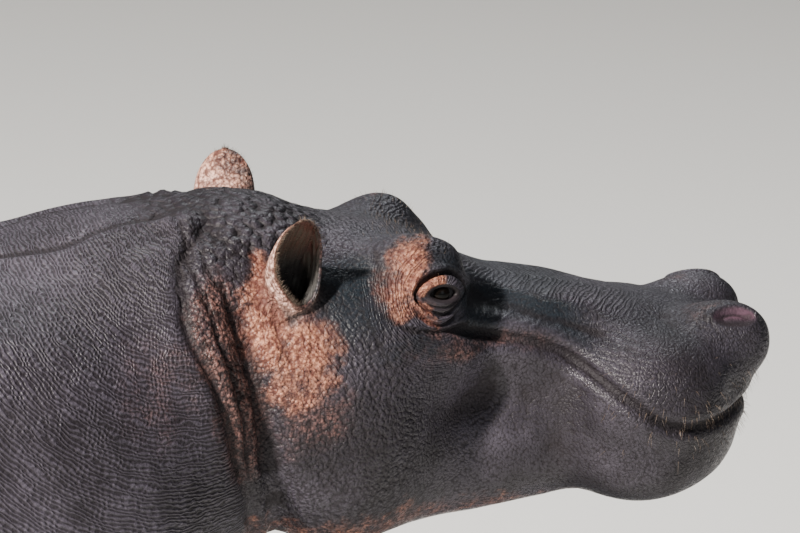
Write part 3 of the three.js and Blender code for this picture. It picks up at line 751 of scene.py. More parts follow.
def lid_height(radius, angle):
    """The folds round the eye: bells of the stretched distance from the opening, upper and lower mixed by the sine."""
    out = lid_distance(radius, angle)
    upper = sum(high * bell((out - at) / half) for high, at, half in UPPER_FOLDS)
    lower = sum(high * bell((out - at) / half) for high, at, half in LOWER_FOLDS)
    corner = 1 - np.where(np.cos(angle) > 0, 0.15, 0.4) * np.abs(np.cos(angle)) ** 6
    turn_over = mix(-0.16, -0.42, soft_step(-np.cos(angle), -0.2, 0.8))
    return mix(lower, upper, soft_step(np.sin(angle), turn_over - 0.3, turn_over + 0.3)) * corner


def make_eyelids(side):
    ball = EYE * [side, 1, 1]
    axes = side_axes(EYE_PATCH_OUT, side)
    look = EYE_OUT * [side, 1, 1]
    middle = ball + 29 * (look - (look @ axes[0]) * axes[0])
    loop = cut_hole(middle, axes, EYE_HOLE)
    polar = polar_rings(loop, middle, axes, EYE_RINGS, opening)
    radius, angle = polar[..., 0].ravel(), polar[..., 1].ravel()
    flat = np.cos(angle)[:, None] * radius[:, None] * axes[1] + np.sin(angle)[:, None] * radius[:, None] * axes[2]
    skin = onto_skin(middle + 20 * axes[0] + flat, axes[0])
    wander = value_noise(skin, 34, seed=4) * 3.4 * soft_step(radius, 20, 42)
    wander += value_noise(skin, 16, seed=5) * 1.4 + value_noise(skin, 7, seed=6) * 0.6
    oval = np.hypot(radius * np.cos(angle) / EYE_HOLE[0], radius * np.sin(angle) / EYE_HOLE[1])
    fade = soft_step(oval, 0.93, 0.70)
    # Short wrinkles run outwards from the upper lid, and small bumps cover the bag behind and below the eye.
    spokes = np.sin(angle * 30 + value_noise(skin, 12, seed=7) * 3) * soft_step(np.sin(angle), 0.0, 0.5)
    bag = pebbles(skin, 6.5, seed=8) * soft_step(-np.cos(angle), 0.1, 0.7) * soft_step(np.sin(angle), 0.3, -0.2)
    height = lid_height(radius + wander * fade, angle) + 0.45 * spokes * soft_step(radius, 18, 26)
    height = height + 2.6 * (0.4 - bag) * (bag > 0) * soft_step(radius, 34, 40)
    skin = skin + (height * fade)[:, None] * unit(slope_of(skin)[1])
    rings = list(skin.reshape(*polar.shape[:2], 3))
    rim, angle = rings[-1], polar[-1, :, 1]
    rim_radius = np.linalg.norm(rim - ball, axis=1)
    for step, (reach, inside) in enumerate(LID_EDGE):
        r = opening(angle) * np.maximum(1 - inside / mix(9, 20, np.cos(angle) ** 4), 0.12)
        across = r[:, None] * (np.cos(angle)[:, None] * axes[1] + np.sin(angle)[:, None] * axes[2])
        towards = unit(middle - ball + 27 * axes[0] + across)
        from_rim = max(0.0, 1 - (step + 1) / 4)
        far = reach + np.maximum(rim_radius - 30.6, -1.0) * from_rim
        rings.append(ball + towards * far[:, None])
    last = rings[-1]
    centre = ball + 20.5 * look
    for share in (0.7, 0.4, 0.15):
        rings.append(centre + (last - centre) * share)
    parts = [LIDS] * len(EYE_RINGS) + [LID_RIM] * (len(rings) - len(EYE_RINGS))
    grow_rings(loop, rings, centre, parts, hand_over=9)
    return len(loop), rim_radius.min(), rim_radius.max()


for side in (1, -1):
    print("eyelids:", make_eyelids(side))

# %% [markdown]
# ## Ears
#
# An ear is a thick leaf rolled into a cup. On the outside, lines run from the ear's root to its rim. On the
# inside they run back down to the bottom of the cup. The root is rounded into the head with a curve that starts
# on the head's skin and ends on the ear's.

# %% Ear numbers
EAR = {"length": 138.0, "width": 44.0, "depth": 40.0, "wall": 7.0, "lean": 20.0, "turn": 22.0, "rooted": 34.0}
EARS = {1: (172.0, 732.0, 1290.0, 6.0), -1: (172.0, 702.0, 1296.0, 3.0)}
EAR_HOLE = (52.0, 56.0)
EAR_LINES_UP, EAR_LINES_DOWN = 26, 26


def turn(angle, axis):
    return np.array(Matrix.Rotation(np.radians(angle), 3, axis))


def ear_place(side):
    """The leaf's frame: turned about its length, raked forwards, leaned outwards and set on its root."""
    x, s, z, rake = EARS[side]
    rotation = turn(EAR["lean"], "Y") @ turn(rake, "X") @ turn(90 - EAR["turn"], "Z")
    return rotation, np.array([x, s, z])


def leaf(angle, t, inset, side):
    """A point of the leaf on the head: an arc whose radius swells and narrows along t, squeezed front to back."""
    swell = 0.62 + 0.5 * np.sin(np.pi * np.minimum(t * 1.1, 1) * 0.62)
    wide = EAR["width"] * swell * np.sqrt(np.maximum(1 - 0.985 * np.clip(t, 0, 1) ** 5, 0))
    wide = wide - np.minimum(inset, 0.6 * wide)
    flatter = mix(1.0, 0.45, soft_step(t, 0.3, 0.85))
    x, y = wide * np.sin(angle), wide * np.cos(angle) * EAR["depth"] / EAR["width"] * flatter
    x = x * np.where((x < 0) & (side < 0), 0.87, 1.0)
    z = -EAR["rooted"] + (EAR["length"] + EAR["rooted"]) * t + 0.16 * y * (1 - t)
    rotation, root = ear_place(side)
    return (np.stack([x, y, z], axis=-1) @ rotation.T + root) * [side, 1, 1]


def ear_rim(count, side, lowest):
    """Angle and height along the rim, even in length: up one edge of the leaf, over its tip and down the other edge."""
    t = np.linspace(lowest, 1, 60)
    closing = 180 - mix(150.0, 78.0, lowest)
    edge = np.radians(mix(150.0, 78.0, t) + closing * (1 - np.sqrt(ramp(t, lowest, lowest + 0.26))))
    over = np.linspace(edge[-1], -edge[-1], 24)[1:-1]
    front = np.linspace(np.pi, edge[0], 8)[:-1]
    angle = np.concatenate([front, edge, over, -edge[::-1], -front[::-1]])
    height = np.concatenate([np.full(7, lowest), t, np.full(22, 1.0), t[::-1], np.full(7, lowest)])
    line = leaf(angle, height, EAR["wall"] / 2, side)
    far = np.concatenate([[0], np.cumsum(np.linalg.norm(np.diff(line, axis=0), axis=1))])
    share = np.interp(count, [0, 0.5, 1], [0, 0.5, 1]) * far[-1]
    return np.interp(share, far, angle), np.interp(share, far, height)


def make_ear(side):
    rotation, root = ear_place(side)
    mirrored = np.array([side, 1, 1])
    probe = onto_skin(np.array([root * mirrored]), unit(np.array([0.75, 0.0, 0.66])) * mirrored)[0]
    out = unit(slope_of(probe[None])[1])[0] * mirrored
    axes = side_axes(out, side)
    loop = cut_hole(probe, axes, EAR_HOLE)
    border = points[loop]
    local = (border * mirrored - root) @ rotation
    angle = np.arctan2(local[:, 0], local[:, 1])
    smooth = evened(angle)
    doubled = np.stack([smooth, (smooth + np.roll(smooth, -1)) / 2], axis=1)
    step = smooth[1] - smooth[0]
    doubled[-1, 1] = smooth[-1] + step / 2
    base = (doubled.ravel() + np.pi) % (2 * np.pi) - np.pi
    # Where each line up the ear leaves the head's skin.
    heights = np.linspace(-0.1, 0.55, 40)
    grid = leaf(base[None, :], heights[:, None], 0.0, side)
    depth = skin_distance(grid.reshape(-1, 3)).reshape(grid.shape[:2])
    inside = depth < 0
    last_in = np.where(inside.any(axis=0), 39 - np.argmax(inside[::-1], axis=0), 0)
    line = np.arange(len(base))
    d_in, d_out = depth[last_in, line], depth[np.minimum(last_in + 1, 39), line]
    leave = heights[last_in] + (heights[1] - heights[0]) * np.clip(d_in / np.minimum(d_in - d_out, -1e-6), 0, 1)
    leave = ring_mean(leave)
    lowest = leave[np.argmax(np.abs(base))] + 0.05
    share = np.where(base > 0, 0.5 * (1 - base / np.pi), 0.5 - 0.5 * base / np.pi)
    rim_angle, rim_height = ear_rim(share, side, lowest)
    rim_height = -join(-rim_height, -(leave + 0.05), 0.06)
    middle_border = np.repeat(border, 2, axis=0)
    middle_border[1::2] = (border + np.roll(border, -1, axis=0)) / 2
    crossing = leaf(base, leave, 0.0, side)
    rise = np.minimum(leave + 0.16, mix(leave, rim_height, 0.6))
    k_rise = (rise - leave) / np.maximum(rim_height - leave, 1e-6)
    upper = leaf(mix(base, rim_angle, k_rise), rise, 0.0, side)
    rings = []
    for k in range(1, 8):
        t = k / 8
        rings.append((1 - t) ** 2 * middle_border + 2 * t * (1 - t) * crossing + t * t * upper)
    for k in range(EAR_LINES_UP - 7):
        along = k / (EAR_LINES_UP - 8)
        t = k_rise + (1 - k_rise) * along
        ripple = 1.5 * (1 - soft_step(rim_height, 0.3, 0.9)) * (1 - np.cos(6 * np.pi * along))
        rings.append(leaf(mix(base, rim_angle, t), mix(leave, rim_height, t), ripple, side))
    wall = EAR["wall"] * (1 - 0.35 * rim_height)
    for inset, lift in ((0.12, 0.007), (0.34, 0.013), (0.66, 0.013), (0.88, 0.007)):
        rings.append(leaf(rim_angle, rim_height + lift, wall * inset, side))
    # Inside, ridges run along the rim, soft folds fill the low half, and the lines draw together at the bottom.
    bottom = 0.2
    centre = leaf(np.array([0.35 * side]), np.array([bottom]), 26.0, side)[0]
    for k in range(EAR_LINES_DOWN):
        t = (k / EAR_LINES_DOWN) ** 0.9
        low = 1 - soft_step(rim_height, 0.5, 1.05)
        ahead = soft_step(-np.sin(rim_angle), -0.3, 0.4)
        ribs = 1.8 * np.cos(rim_angle * 5 + 0.7) + (3.2 * low + 2.4 * ahead) * np.cos(t * 26 + 1.2 * rim_angle)
        ribs = ribs * np.sin(np.pi * t) ** 0.7
        fill = 8.0 * low * np.sin(np.pi * np.minimum(t * 1.2, 1)) ** 0.8
        outer = leaf(mix(rim_angle, base, t * 0.8), mix(rim_height, bottom, t), wall + ribs + fill, side)
        rings.append(outer + (centre - outer) * soft_step(t, 0.5, 1.0) * 0.85)
    pole = rings[-1].mean(axis=0)
    parts = [EAR_BACK] * EAR_LINES_UP + [EAR_RIM] * 4 + [EAR_CUP] * EAR_LINES_DOWN
    grow_rings(loop, rings, pole, parts, hand_over=9, double=True)
    return len(loop), leave.min().round(3), leave.max().round(3)


for side in (1, -1):
    print("ear:", make_ear(side))

# %% [markdown]
# ## Nostrils
#
# A hippopotamus shuts its nostrils. Each is a smooth trough on the outer slope of its mound, with a thin crest
# over it.

# %% Nostrils
NOSTRIL = np.array([113.0, 26.0, 1204.0])
NOSTRIL_OUT = unit(np.array([0.77, -0.06, 0.63]))
NOSTRIL_HOLE = (46.0, 33.0)
NOSTRIL_OVAL = (33.0, 17.0)


def nostril_height(a, b):
    """Along (a) and up (b) the slope: a trough, deepest under its upper edge, and a crest above it."""
    oval = np.hypot(a / NOSTRIL_OVAL[0], (b - 1) / NOSTRIL_OVAL[1])
    trough = -mix(4.5, 9.0, soft_step(b, -12, 10)) * (1 - soft_step(oval, 0.5, 1.05))
    crest = 4.6 * bell((oval - 1.16) / 0.17) * soft_step(b, -6, 8)
    return trough + crest


def make_nostril(side):
    mirrored = np.array([side, 1, 1])
    axes = side_axes(NOSTRIL_OUT, side)
    middle = onto_skin(np.array([NOSTRIL * mirrored]), axes[0])[0]
    loop = cut_hole(middle, axes, NOSTRIL_HOLE)
    polar = polar_rings(loop, middle, axes, np.linspace(1, 0.04, 25)[1:], lambda angle: np.zeros(len(angle)))
    a = polar[..., 0] * np.cos(polar[..., 1])
    b = polar[..., 0] * np.sin(polar[..., 1])
    flat = a.reshape(-1, 1) * axes[1] + b.reshape(-1, 1) * axes[2]
    skin = onto_skin(middle + flat, axes[0])
    skin = skin + nostril_height(a.ravel(), b.ravel())[:, None] * unit(slope_of(skin)[1])
    rings = skin.reshape(*a.shape, 3)
    grow_rings(loop, rings, rings[-1].mean(axis=0), [NOSE] * len(rings), hand_over=8)
    return len(loop)


for side in (1, -1):
    print("nostril:", make_nostril(side))
print("skin so far:", len(points), "points,", 2 * len(quads) + len(fans), "triangles")

# %% [markdown]
# ## Folds, wrinkles and pebbles
#
# The hide hangs in folds where it has to move: behind the jowl, down the neck, round the roots of the legs and
# over the ankles. The nape and the brow are covered in pebbles. These are deep enough to change the outline, so
# they move the skin's own points, each along the skin's normal. Finer marks are left to the material.


# %% Relief
def left_share(p):
    """0 on the animal's right side and 1 on its left, with a soft step between."""
    return soft_step(p[:, 0], -30, 30)


def behind_ear(p):
    """0 ahead of the ear's root and 1 behind it, with a soft step between."""
    return soft_step(p[:, 1] - np.where(p[:, 0] > 0, EARS[1][1], EARS[-1][1]), -16, 6)


def round_bell(p, at, size):
    """A bell of the distance from a point, measured in half sizes."""
    return bell(np.linalg.norm((one_side(p) - at) / size, axis=1))


# Folds down the neck: height and station.
NECK_EDGE = [[780, 742], [900, 760], [1000, 782], [1100, 806], [1219, 842]]
NECK_EDGE += [[1273, 869], [1320, 874], [1362, 865], [1400, 811]]
NECK_FOLD_ONE = [[800, 735], [1000, 766], [1140, 788], [1234, 809], [1310, 833], [1350, 850]]
NECK_FOLD_TWO = [[800, 715], [1000, 744], [1200, 778], [1304, 802], [1348, 826]]
# Each of the two lesser folds: its line, depth and half width, then height, place and half width of the roll behind it.
NECK_FOLDS = [(NECK_FOLD_ONE, 5.5, 4.8, 2.0, 9, 6), (NECK_FOLD_TWO, 4.2, 4.2, 1.8, 8, 5)]
# The crest of the neck muscle: station and distance from the middle line.
NECK_CREST = [[790, 64], [835, 68], [883, 70], [927, 76], [969, 88], [1012, 104]]
NECK_CREST += [[1058, 100], [1110, 90], [1250, 94], [1420, 112]]


def neck_relief(p):
    """Folds as bells across lines down the neck, a channel and a crest along the neck muscle, all bent by noise."""
    x, s, z = one_side(p).T
    s = s + value_noise(p, 60, seed=21) * 5 + value_noise(p, 22, seed=22) * 2.5
    side = soft_step(x, 30, 90)
    low = soft_step(z, 780, 980)
    edge = behind_line(NECK_EDGE, s, z)
    relief = -9.0 * bell((edge + 6) / 8.5) + 3.0 * bell((edge - 20) / 28)
    for line, deep, half, high, behind, wide in NECK_FOLDS:
        off = behind_line(line, s, z)
        relief += high * bell((off - behind) / wide) - deep * bell(off / half)
    relief *= side * mix(0.55, 1.0, low) * soft_step(z, 1425, 1395)
    crest = x - rows_at(NECK_CREST, s)[0] + value_noise(p, 45, seed=23) * 5
    along = soft_step(s, 815, 880) * soft_step(s, 1420, 1150) * (z > 1150)
    relief += along * mix(1.0, 0.5, left_share(p)) * (-6.5 * bell((crest + 20) / 15) + 5.0 * bell((crest - 8) / 20))
    # The crest ends in a rounded knob behind the ears, with a pit ahead of it.
    knob = 8.0 * bell(np.hypot((x - 90) / 26, (s - 846) / 26)) - 8.0 * bell(np.hypot((x - 104) / 28, (s - 808) / 10))
    relief += knob * (z > 1330) * mix(1.0, 0.15, left_share(p))
    return relief


def pebble_share(p):
    """Where the hide is pebbled: the nape, round the ears, over the brows and on the folds of the neck."""
    x, s, z = one_side(p).T
    s = s + value_noise(p, 70, seed=31) * 26
    x = x + value_noise(p, 50, seed=32) * 16
    nape = soft_step(s, 600, 680) * soft_step(s, 985, 850) * soft_step(z, 1255, 1325)
    inner = soft_step(rows_at(NECK_CREST, s)[0] - x, -24, 12)
    nape *= mix(1.0, inner, soft_step(s, 822, 846))
    folds = soft_step(s, 745, 780) * soft_step(behind_line(NECK_EDGE, s, z), 4, -8) * soft_step(z, 1060, 1200) * 0.9
    return np.maximum(nape, folds)


def pebble_relief(p):
    """Round lumps: a part less the squared distance to the nearest seed, bent by noise."""
    warped = p + noise_push(p, 30, seed=33, by=4)
    return 5.0 * (0.38 - pebbles(warped * [1, 1.15, 0.9], 21.0, seed=36) ** 2)


# Single creases on each side of the head, each a line from (s, z) to (s, z) with its depth and half width: under
# the ear, in front of the ear's root, below the orbit, and from the mouth's corner backwards.
CREASES = [
    ((736, 1314), (729, 1266), 6.5, 5.0),
    ((730, 1268), (684, 1289), 7.0, 4.5),
    ((729, 1268), (716, 1222), 4.0, 5.0),
    ((568, 1270), (540, 1252), 4.5, 4.0),
    ((540, 1252), (500, 1241), 5.5, 4.5),
    ((500, 1241), (432, 1238), 5.0, 4.5),
    ((566, 1345), (572, 1300), 2.4, 4.0),
    ((556, 1338), (562, 1292), 2.4, 3.2),
]
BRIDGE_EDGE = [[170, 1214], [207, 1223], [283, 1247], [402, 1281], [450, 1292]]


def crease_relief(p):
    """Bells of the distance from each crease's line, bent by noise."""
    x, s, z = one_side(p + noise_push(p, 18, seed=25, by=3)).T
    total = np.zeros(len(p))
    for (s0, z0), (s1, z1), deep, half in CREASES:
        along = np.clip(((s - s0) * (s1 - s0) + (z - z0) * (z1 - z0)) / ((s1 - s0) ** 2 + (z1 - z0) ** 2), 0, 1)
        off = np.hypot(s - mix(s0, s1, along), z - mix(z0, z1, along))
        total = np.minimum(total, -deep * bell(off / half)) + 0.25 * deep * bell((off - 2.4 * half) / (1.2 * half))
    return total * soft_step(x, 100, 130)


def bridge_relief(p):
    """The flat bridge of the nose ends in an edge, with a hollow below it. Rows give the edge's height by station."""
    x, s, z = one_side(p).T
    off = over_line(BRIDGE_EDGE, s, z) + value_noise(p, 50, seed=28) * 4
    fade = soft_step(x, 55, 80) * soft_step(s, 180, 260) * soft_step(s, 470, 400)
    return (3.0 * bell((off - 3) / 7) - 9.0 * bell((off + 20) / 14)) * fade


# Folds round a leg's root: distance outside the leg, depth and half width. Then the rolls between them in the same
# way, and the wrinkles round the ankle with heights instead.
LEG_FOLDS = [(16, 5, 10), (46, 7, 12), (84, 5, 13), (126, 3, 15)]
LEG_ROLLS = [(31, 3, 10), (65, 3, 12), (106, 2, 14)]
ANKLE_RINGS = [(150, 3.2, 7), (178, 2.6, 7), (212, 2.0, 8), (262, 1.6, 10)]


def bells(v, rows):
    """The sum of height times bell of (v - place) / half width over the rows of place, height and half width."""
    return sum(high * bell((v - at) / half) for at, high, half in rows)


def leg_relief(p):
    """Folds that follow each leg's own distance round its root, and level rings of wrinkles over the ankle."""
    total = np.zeros(len(p))
    bend = value_noise(p, 130, seed=41) * 13 + value_noise(p, 45, seed=42) * 5
    for leg in LEGS.values():
        near = (np.abs(p[:, 1] - leg[3]) < 520) & (leg[1] * p[:, 0] > -40) & (p[:, 2] < 1150)
        q = p[near]
        out = leg_distance(leg, q) + bend[near]
        _, s, z = into_leg(leg, q)
        ends = soft_step(np.abs(s), 60, 170) * soft_step(z, 420, 560) * soft_step(z, 980, 760)
        folds = bells(out, LEG_ROLLS) - bells(out, LEG_FOLDS)
        rings = -bells(z + bend[near] * 0.8, ANKLE_RINGS)
        ankle = rings * (out < 40) * soft_step(s + 60 + z * 0.2, 150, 60)
        knee = -3.0 * bell((z - 400 + bend[near] + 0.25 * s) / 10) * soft_step(s, -20, 60) * (out < 40)
        total[near] += folds * ends + ankle + knee
    return total


def body_relief(p):
    """Slow unevenness of muscle and fat, wrinkles across the throat, the tail's rings and the front of the brow.

    A small step inwards keeps the skin inside its outline.
    """
    x, s, z = one_side(p).T
    slow = layered_noise(p * [1, 0.8, 1], 190, layers=3, seed=51) * mix(1.6, 4.5, soft_step(s, 900, 1400))
    throat = soft_step(z, 1010, 900) * soft_step(s, 620, 720) * soft_step(s, 1500, 1250)
    across = s + value_noise(p, 120, seed=52) * 22
    folds = throat * 4.5 * (np.abs(np.sin(across / 31.0)) ** 0.7 - 0.6)
    tail = (s > 3150) * (z < 1080) * (x < 60) * 1.6 * np.sin(z / 5.5 + value_noise(p, 30, seed=53) * 2)
    fine = layered_noise(p, 34, layers=2, seed=54) * 0.9
    brow = mix(6.0, -5.0, left_share(p)) * round_bell(p, [126, 450, 1340], [44, 26, 28])
    return slow + folds + tail + fine + brow - 1.2


def chin_and_lips(p):
    """A rolled edge above and below the mouth line."""
    s, z = p[:, 1], p[:, 2]
    off = over_line(MOUTH_LINE, s, z)
    fade = ramp(s, LIP_CORNER + 60, LIP_CORNER - 80)
    return (2.6 * bell((off - 20) / 11) + 3.0 * bell((off + 20) / 12)) * fade


def normals_of():
    """Mean of the face normals round each point, each as long as its face is large."""
    total = np.zeros_like(points)
    for faces, order in ((quads, (0, 1, 2, 3)), (fans, (0, 1, 2, 2))):
        a, b, c, d = (points[faces[:, k]] for k in order)
        normal = np.cross(c - a, d - b) if faces.shape[1] == 4 else np.cross(b - a, c - a)
        for k in range(faces.shape[1]):
            for axis in range(3):
                total[:, axis] += np.bincount(faces[:, k], normal[:, axis], len(points))
    return unit(total)


# %% Working the relief into the skin
used = np.unique(np.concatenate([quads.ravel(), fans.ravel()]))
renumber = np.full(len(points), -1)
renumber[used] = np.arange(len(used))
points, quads, fans = points[used], renumber[quads], renumber[fans]
part = part[used]
taken_up = taken_up[used]
plain = part == 0
ground = soft_step(points[:, 2], 4, 40)
relief = neck_relief(points) + leg_relief(points) + body_relief(points) + chin_and_lips(points)
relief += crease_relief(points) + bridge_relief(points)
relief += pebble_relief(points) * pebble_share(points)
relief *= taken_up * ground
points = points + relief[:, None] * normals_of()
# The nostril mounds sit a little lower, the left one more.
points[:, 2] -= mix(1.5, 7.0, left_share(points)) * round_bell(points, [108, 66, 1232], [60, 70, 46])
edges = all_edges()
points = np.where(plain[:, None], mix(points, neighbour_mean(points, edges), 0.2), points)
points[:, 2] = np.maximum(points[:, 2], 0)
print("relief from", relief.min().round(1), "to", relief.max().round(1), "mm")


# %% How far each point lies in a hollow
def hollowness(rounds):
    """How far a point lies below its surroundings, along the normal, after some rounds of taking neighbours' means."""
    smooth = points
    for _ in range(rounds):
        smooth = neighbour_mean(smooth, edges)
    return np.einsum("ij,ij->i", smooth - points, normals_of())


long_sides = np.linalg.norm(points[edges[:, 0]] - points[edges[:, 1]], axis=1)
sides_met = np.bincount(edges.ravel(), minlength=len(points))
spacing = np.bincount(edges.ravel(), np.repeat(long_sides, 2), len(points)) / sides_met
spacing = neighbour_mean(neighbour_mean(spacing[:, None] * [1, 1, 1], edges), edges)[:, 0]
coarse = np.clip(spacing / 6.2, 0.45, 4)
near = np.clip(hollowness(2) / (0.9 * coarse), -1, 1)
wide = np.clip(hollowness(9) / (3.2 * coarse), -1, 1)
# The hollowness is painted into the colour: darker in hollows as painted shade, lighter on raised skin as painted
# highlight.
hollow = (near * 0.5 + wide * 0.6) * soft_step(spacing, 11.5, 8.0) * np.where(part == EAR_CUP, 0.8, 1)
hollow = np.where(points[:, 2] > 3, hollow, 0)
print("hollowness:", np.percentile(hollow, [1, 50, 99]).round(2))

# %% [markdown]
# ## One skin
#
# The points and faces become one mesh. It stands for all the CAD solids of flesh at once, so no seam shows
# where they were parted. Each point also gets a few numbers that the material reads: how warm its colour is,
# how pebbled, lined or cracked its hide is, and a pair of coordinates that run along and across its wrinkles.

# %% Making meshes
def make_piece(name, where, faces, nodes):
    """A smooth-shaded mesh object in metres, on the root body, that stands for its CAD nodes."""
    mesh = bpy.data.meshes.new(name)
    row = (np.asarray(where) - [0, ORIGIN_STATION, 0]) / 1000
    mesh.from_pydata(row.tolist(), [], faces)
    mesh.polygons.foreach_set("use_smooth", np.ones(len(mesh.polygons), bool))
    mesh.update()
    piece = add_object(name, mesh)
    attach(piece, "root")
    if nodes:
        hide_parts(*nodes)
    return piece


def mark_points(piece, name, values):
    kind = "FLOAT_VECTOR" if np.ndim(values) == 2 else "FLOAT"
    attribute = piece.data.attributes.new(name, kind, "POINT")
    attribute.data.foreach_set("vector" if kind == "FLOAT_VECTOR" else "value", np.ravel(values).astype(np.float32))


FLESH = ["head", "lower_jaw", "neck", "trunk", "tail", "ear_left", "ear_right"]
FLESH += [f"leg_{pair}_{side}" for pair in ("fore", "hind") for side in ("left", "right")]
skin = make_piece("skin", points, quads.tolist() + fans.tolist(), FLESH)
print("skin:", len(skin.data.vertices), "points,", 2 * len(quads) + len(fans), "triangles")

# %% Colour and texture regions
# Warm skin: middle, half sizes and strength of each patch.
WARM_PATCHES = [
    ([156, 526, 1350], [60, 28, 34], 1.2),
    ([172, 537, 1304], [56, 27, 38], 1.1),
    ([184, 522, 1264], [36, 26, 16], 0.9),
    ([182, 560, 1318], [50, 22, 34], 0.8),
    ([188, 520, 1250], [30, 20, 6], 0.5),
    ([186, 748, 1308], [46, 24, 46], 1.2),
    ([204, 748, 1262], [40, 24, 50], 1.25),
    ([214, 696, 1240], [60, 52, 38], 1.1),
    ([222, 700, 1190], [60, 44, 40], 0.75),
    ([204, 781, 1270], [50, 12, 50], 0.7),
    ([130, 700, 930], [130, 330, 60], 0.36),
    ([0, 420, 950], [150, 240, 40], 0.36),
    ([0, 1300, 640], [240, 340, 110], 0.5),
    ([0, 2000, 360], [300, 800, 70], 0.5),
    ([150, 1240, 560], [80, 140, 180], 0.5),
    ([130, 2760, 560], [100, 200, 220], 0.55),
    ([0, 3150, 900], [110, 100, 220], 0.5),
]
# Brown hide, darker than the warm patches: the folds of the neck, the jowl and the upper lip.
BROWN_PATCHES = [
    ([220, 815, 1262], [70, 46, 80], 1.0),
    ([230, 800, 1150], [70, 50, 90], 0.9),
    ([290, 925, 1215], [120, 80, 90], 0.3),
    ([170, 420, 1200], [70, 100, 18], 0.6),
    ([190, 505, 1226], [46, 60, 10], 0.5),
    ([222, 690, 1150], [70, 60, 60], 0.5),
    ([80, 40, 1210], [40, 40, 20], 0.4),
]
# Cool dark skin, in part painted shade: round the temples and the front of the ears, before the eyes, and over the
# bridge, the brows and the muzzle.
COOL_AND_SHADE_PATCHES = [
    ([165, 606, 1316], [60, 36, 40], 1.0),
    ([182, 648, 1306], [50, 30, 40], 1.0),
    ([185, 610, 1266], [50, 46, 30], 0.8),
    ([140, 425, 1250], [60, 34, 40], 1.0),
    ([0, 350, 1264], [90, 150, 44], 0.72),
    ([70, 520, 1340], [60, 70, 60], 0.6),
    ([134, 470, 1344], [50, 27, 26], 0.95),
    ([190, 530, 1222], [40, 60, 16], 0.8),
    ([60, 120, 1200], [90, 120, 60], 0.35),
]


def patches(p, rows, seed, ragged):
    """The highest of some soft ovals: strength times a soft step of each oval's norm.

    Noise of three sizes makes the edges ragged.
    """
    bent = p + noise_push(p, 38, seed, ragged) + noise_push(p, 90, seed + 3, ragged * 1.2)
    bent = one_side(bent + noise_push(p, 15, seed + 6, ragged * 0.4))
    total = np.zeros(len(p))
    for at, size, strength in rows:
        norm = np.linalg.norm((bent - at) / size, axis=1)
        total = np.maximum(total, strength * soft_step(norm, 1.7, 0.45))
    return total


def round_eye(p):
    """Where a point lies round the eye: its stretched distance outside the opening, as for the folds, and its angle."""
    out, ahead, up = side_axes(EYE_PATCH_OUT, 1)
    off = one_side(p) - EYE - 29 * (EYE_OUT - (EYE_OUT @ out) * out)
    angle = np.arctan2(off @ up, off @ ahead)
    return lid_distance(np.hypot(off @ ahead, off @ up), angle), angle


def round_nostril(p):
    """Where a point lies round the nostril, as in its heights: how far ahead of its middle and how far up the slope."""
    _, ahead, up = side_axes(NOSTRIL_OUT, 1)
    off = one_side(p) - NOSTRIL
    return off @ ahead, off @ up


def nape_share(p):
    """Where the nape's big round cobbles lie: on top, from between the ears to the end of the neck's crest."""
    x, s, z = one_side(p).T
    bent = s + value_noise(p, 70, seed=31) * 26
    inner = soft_step(rows_at(NECK_CREST, s)[0] - x, -24, 6)
    inner = mix(1.0, inner, soft_step(s, 812, 836))
    return soft_step(bent, 600, 660) * soft_step(bent, 930, 860) * soft_step(z, 1325, 1370) * inner * (part < EAR_BACK)


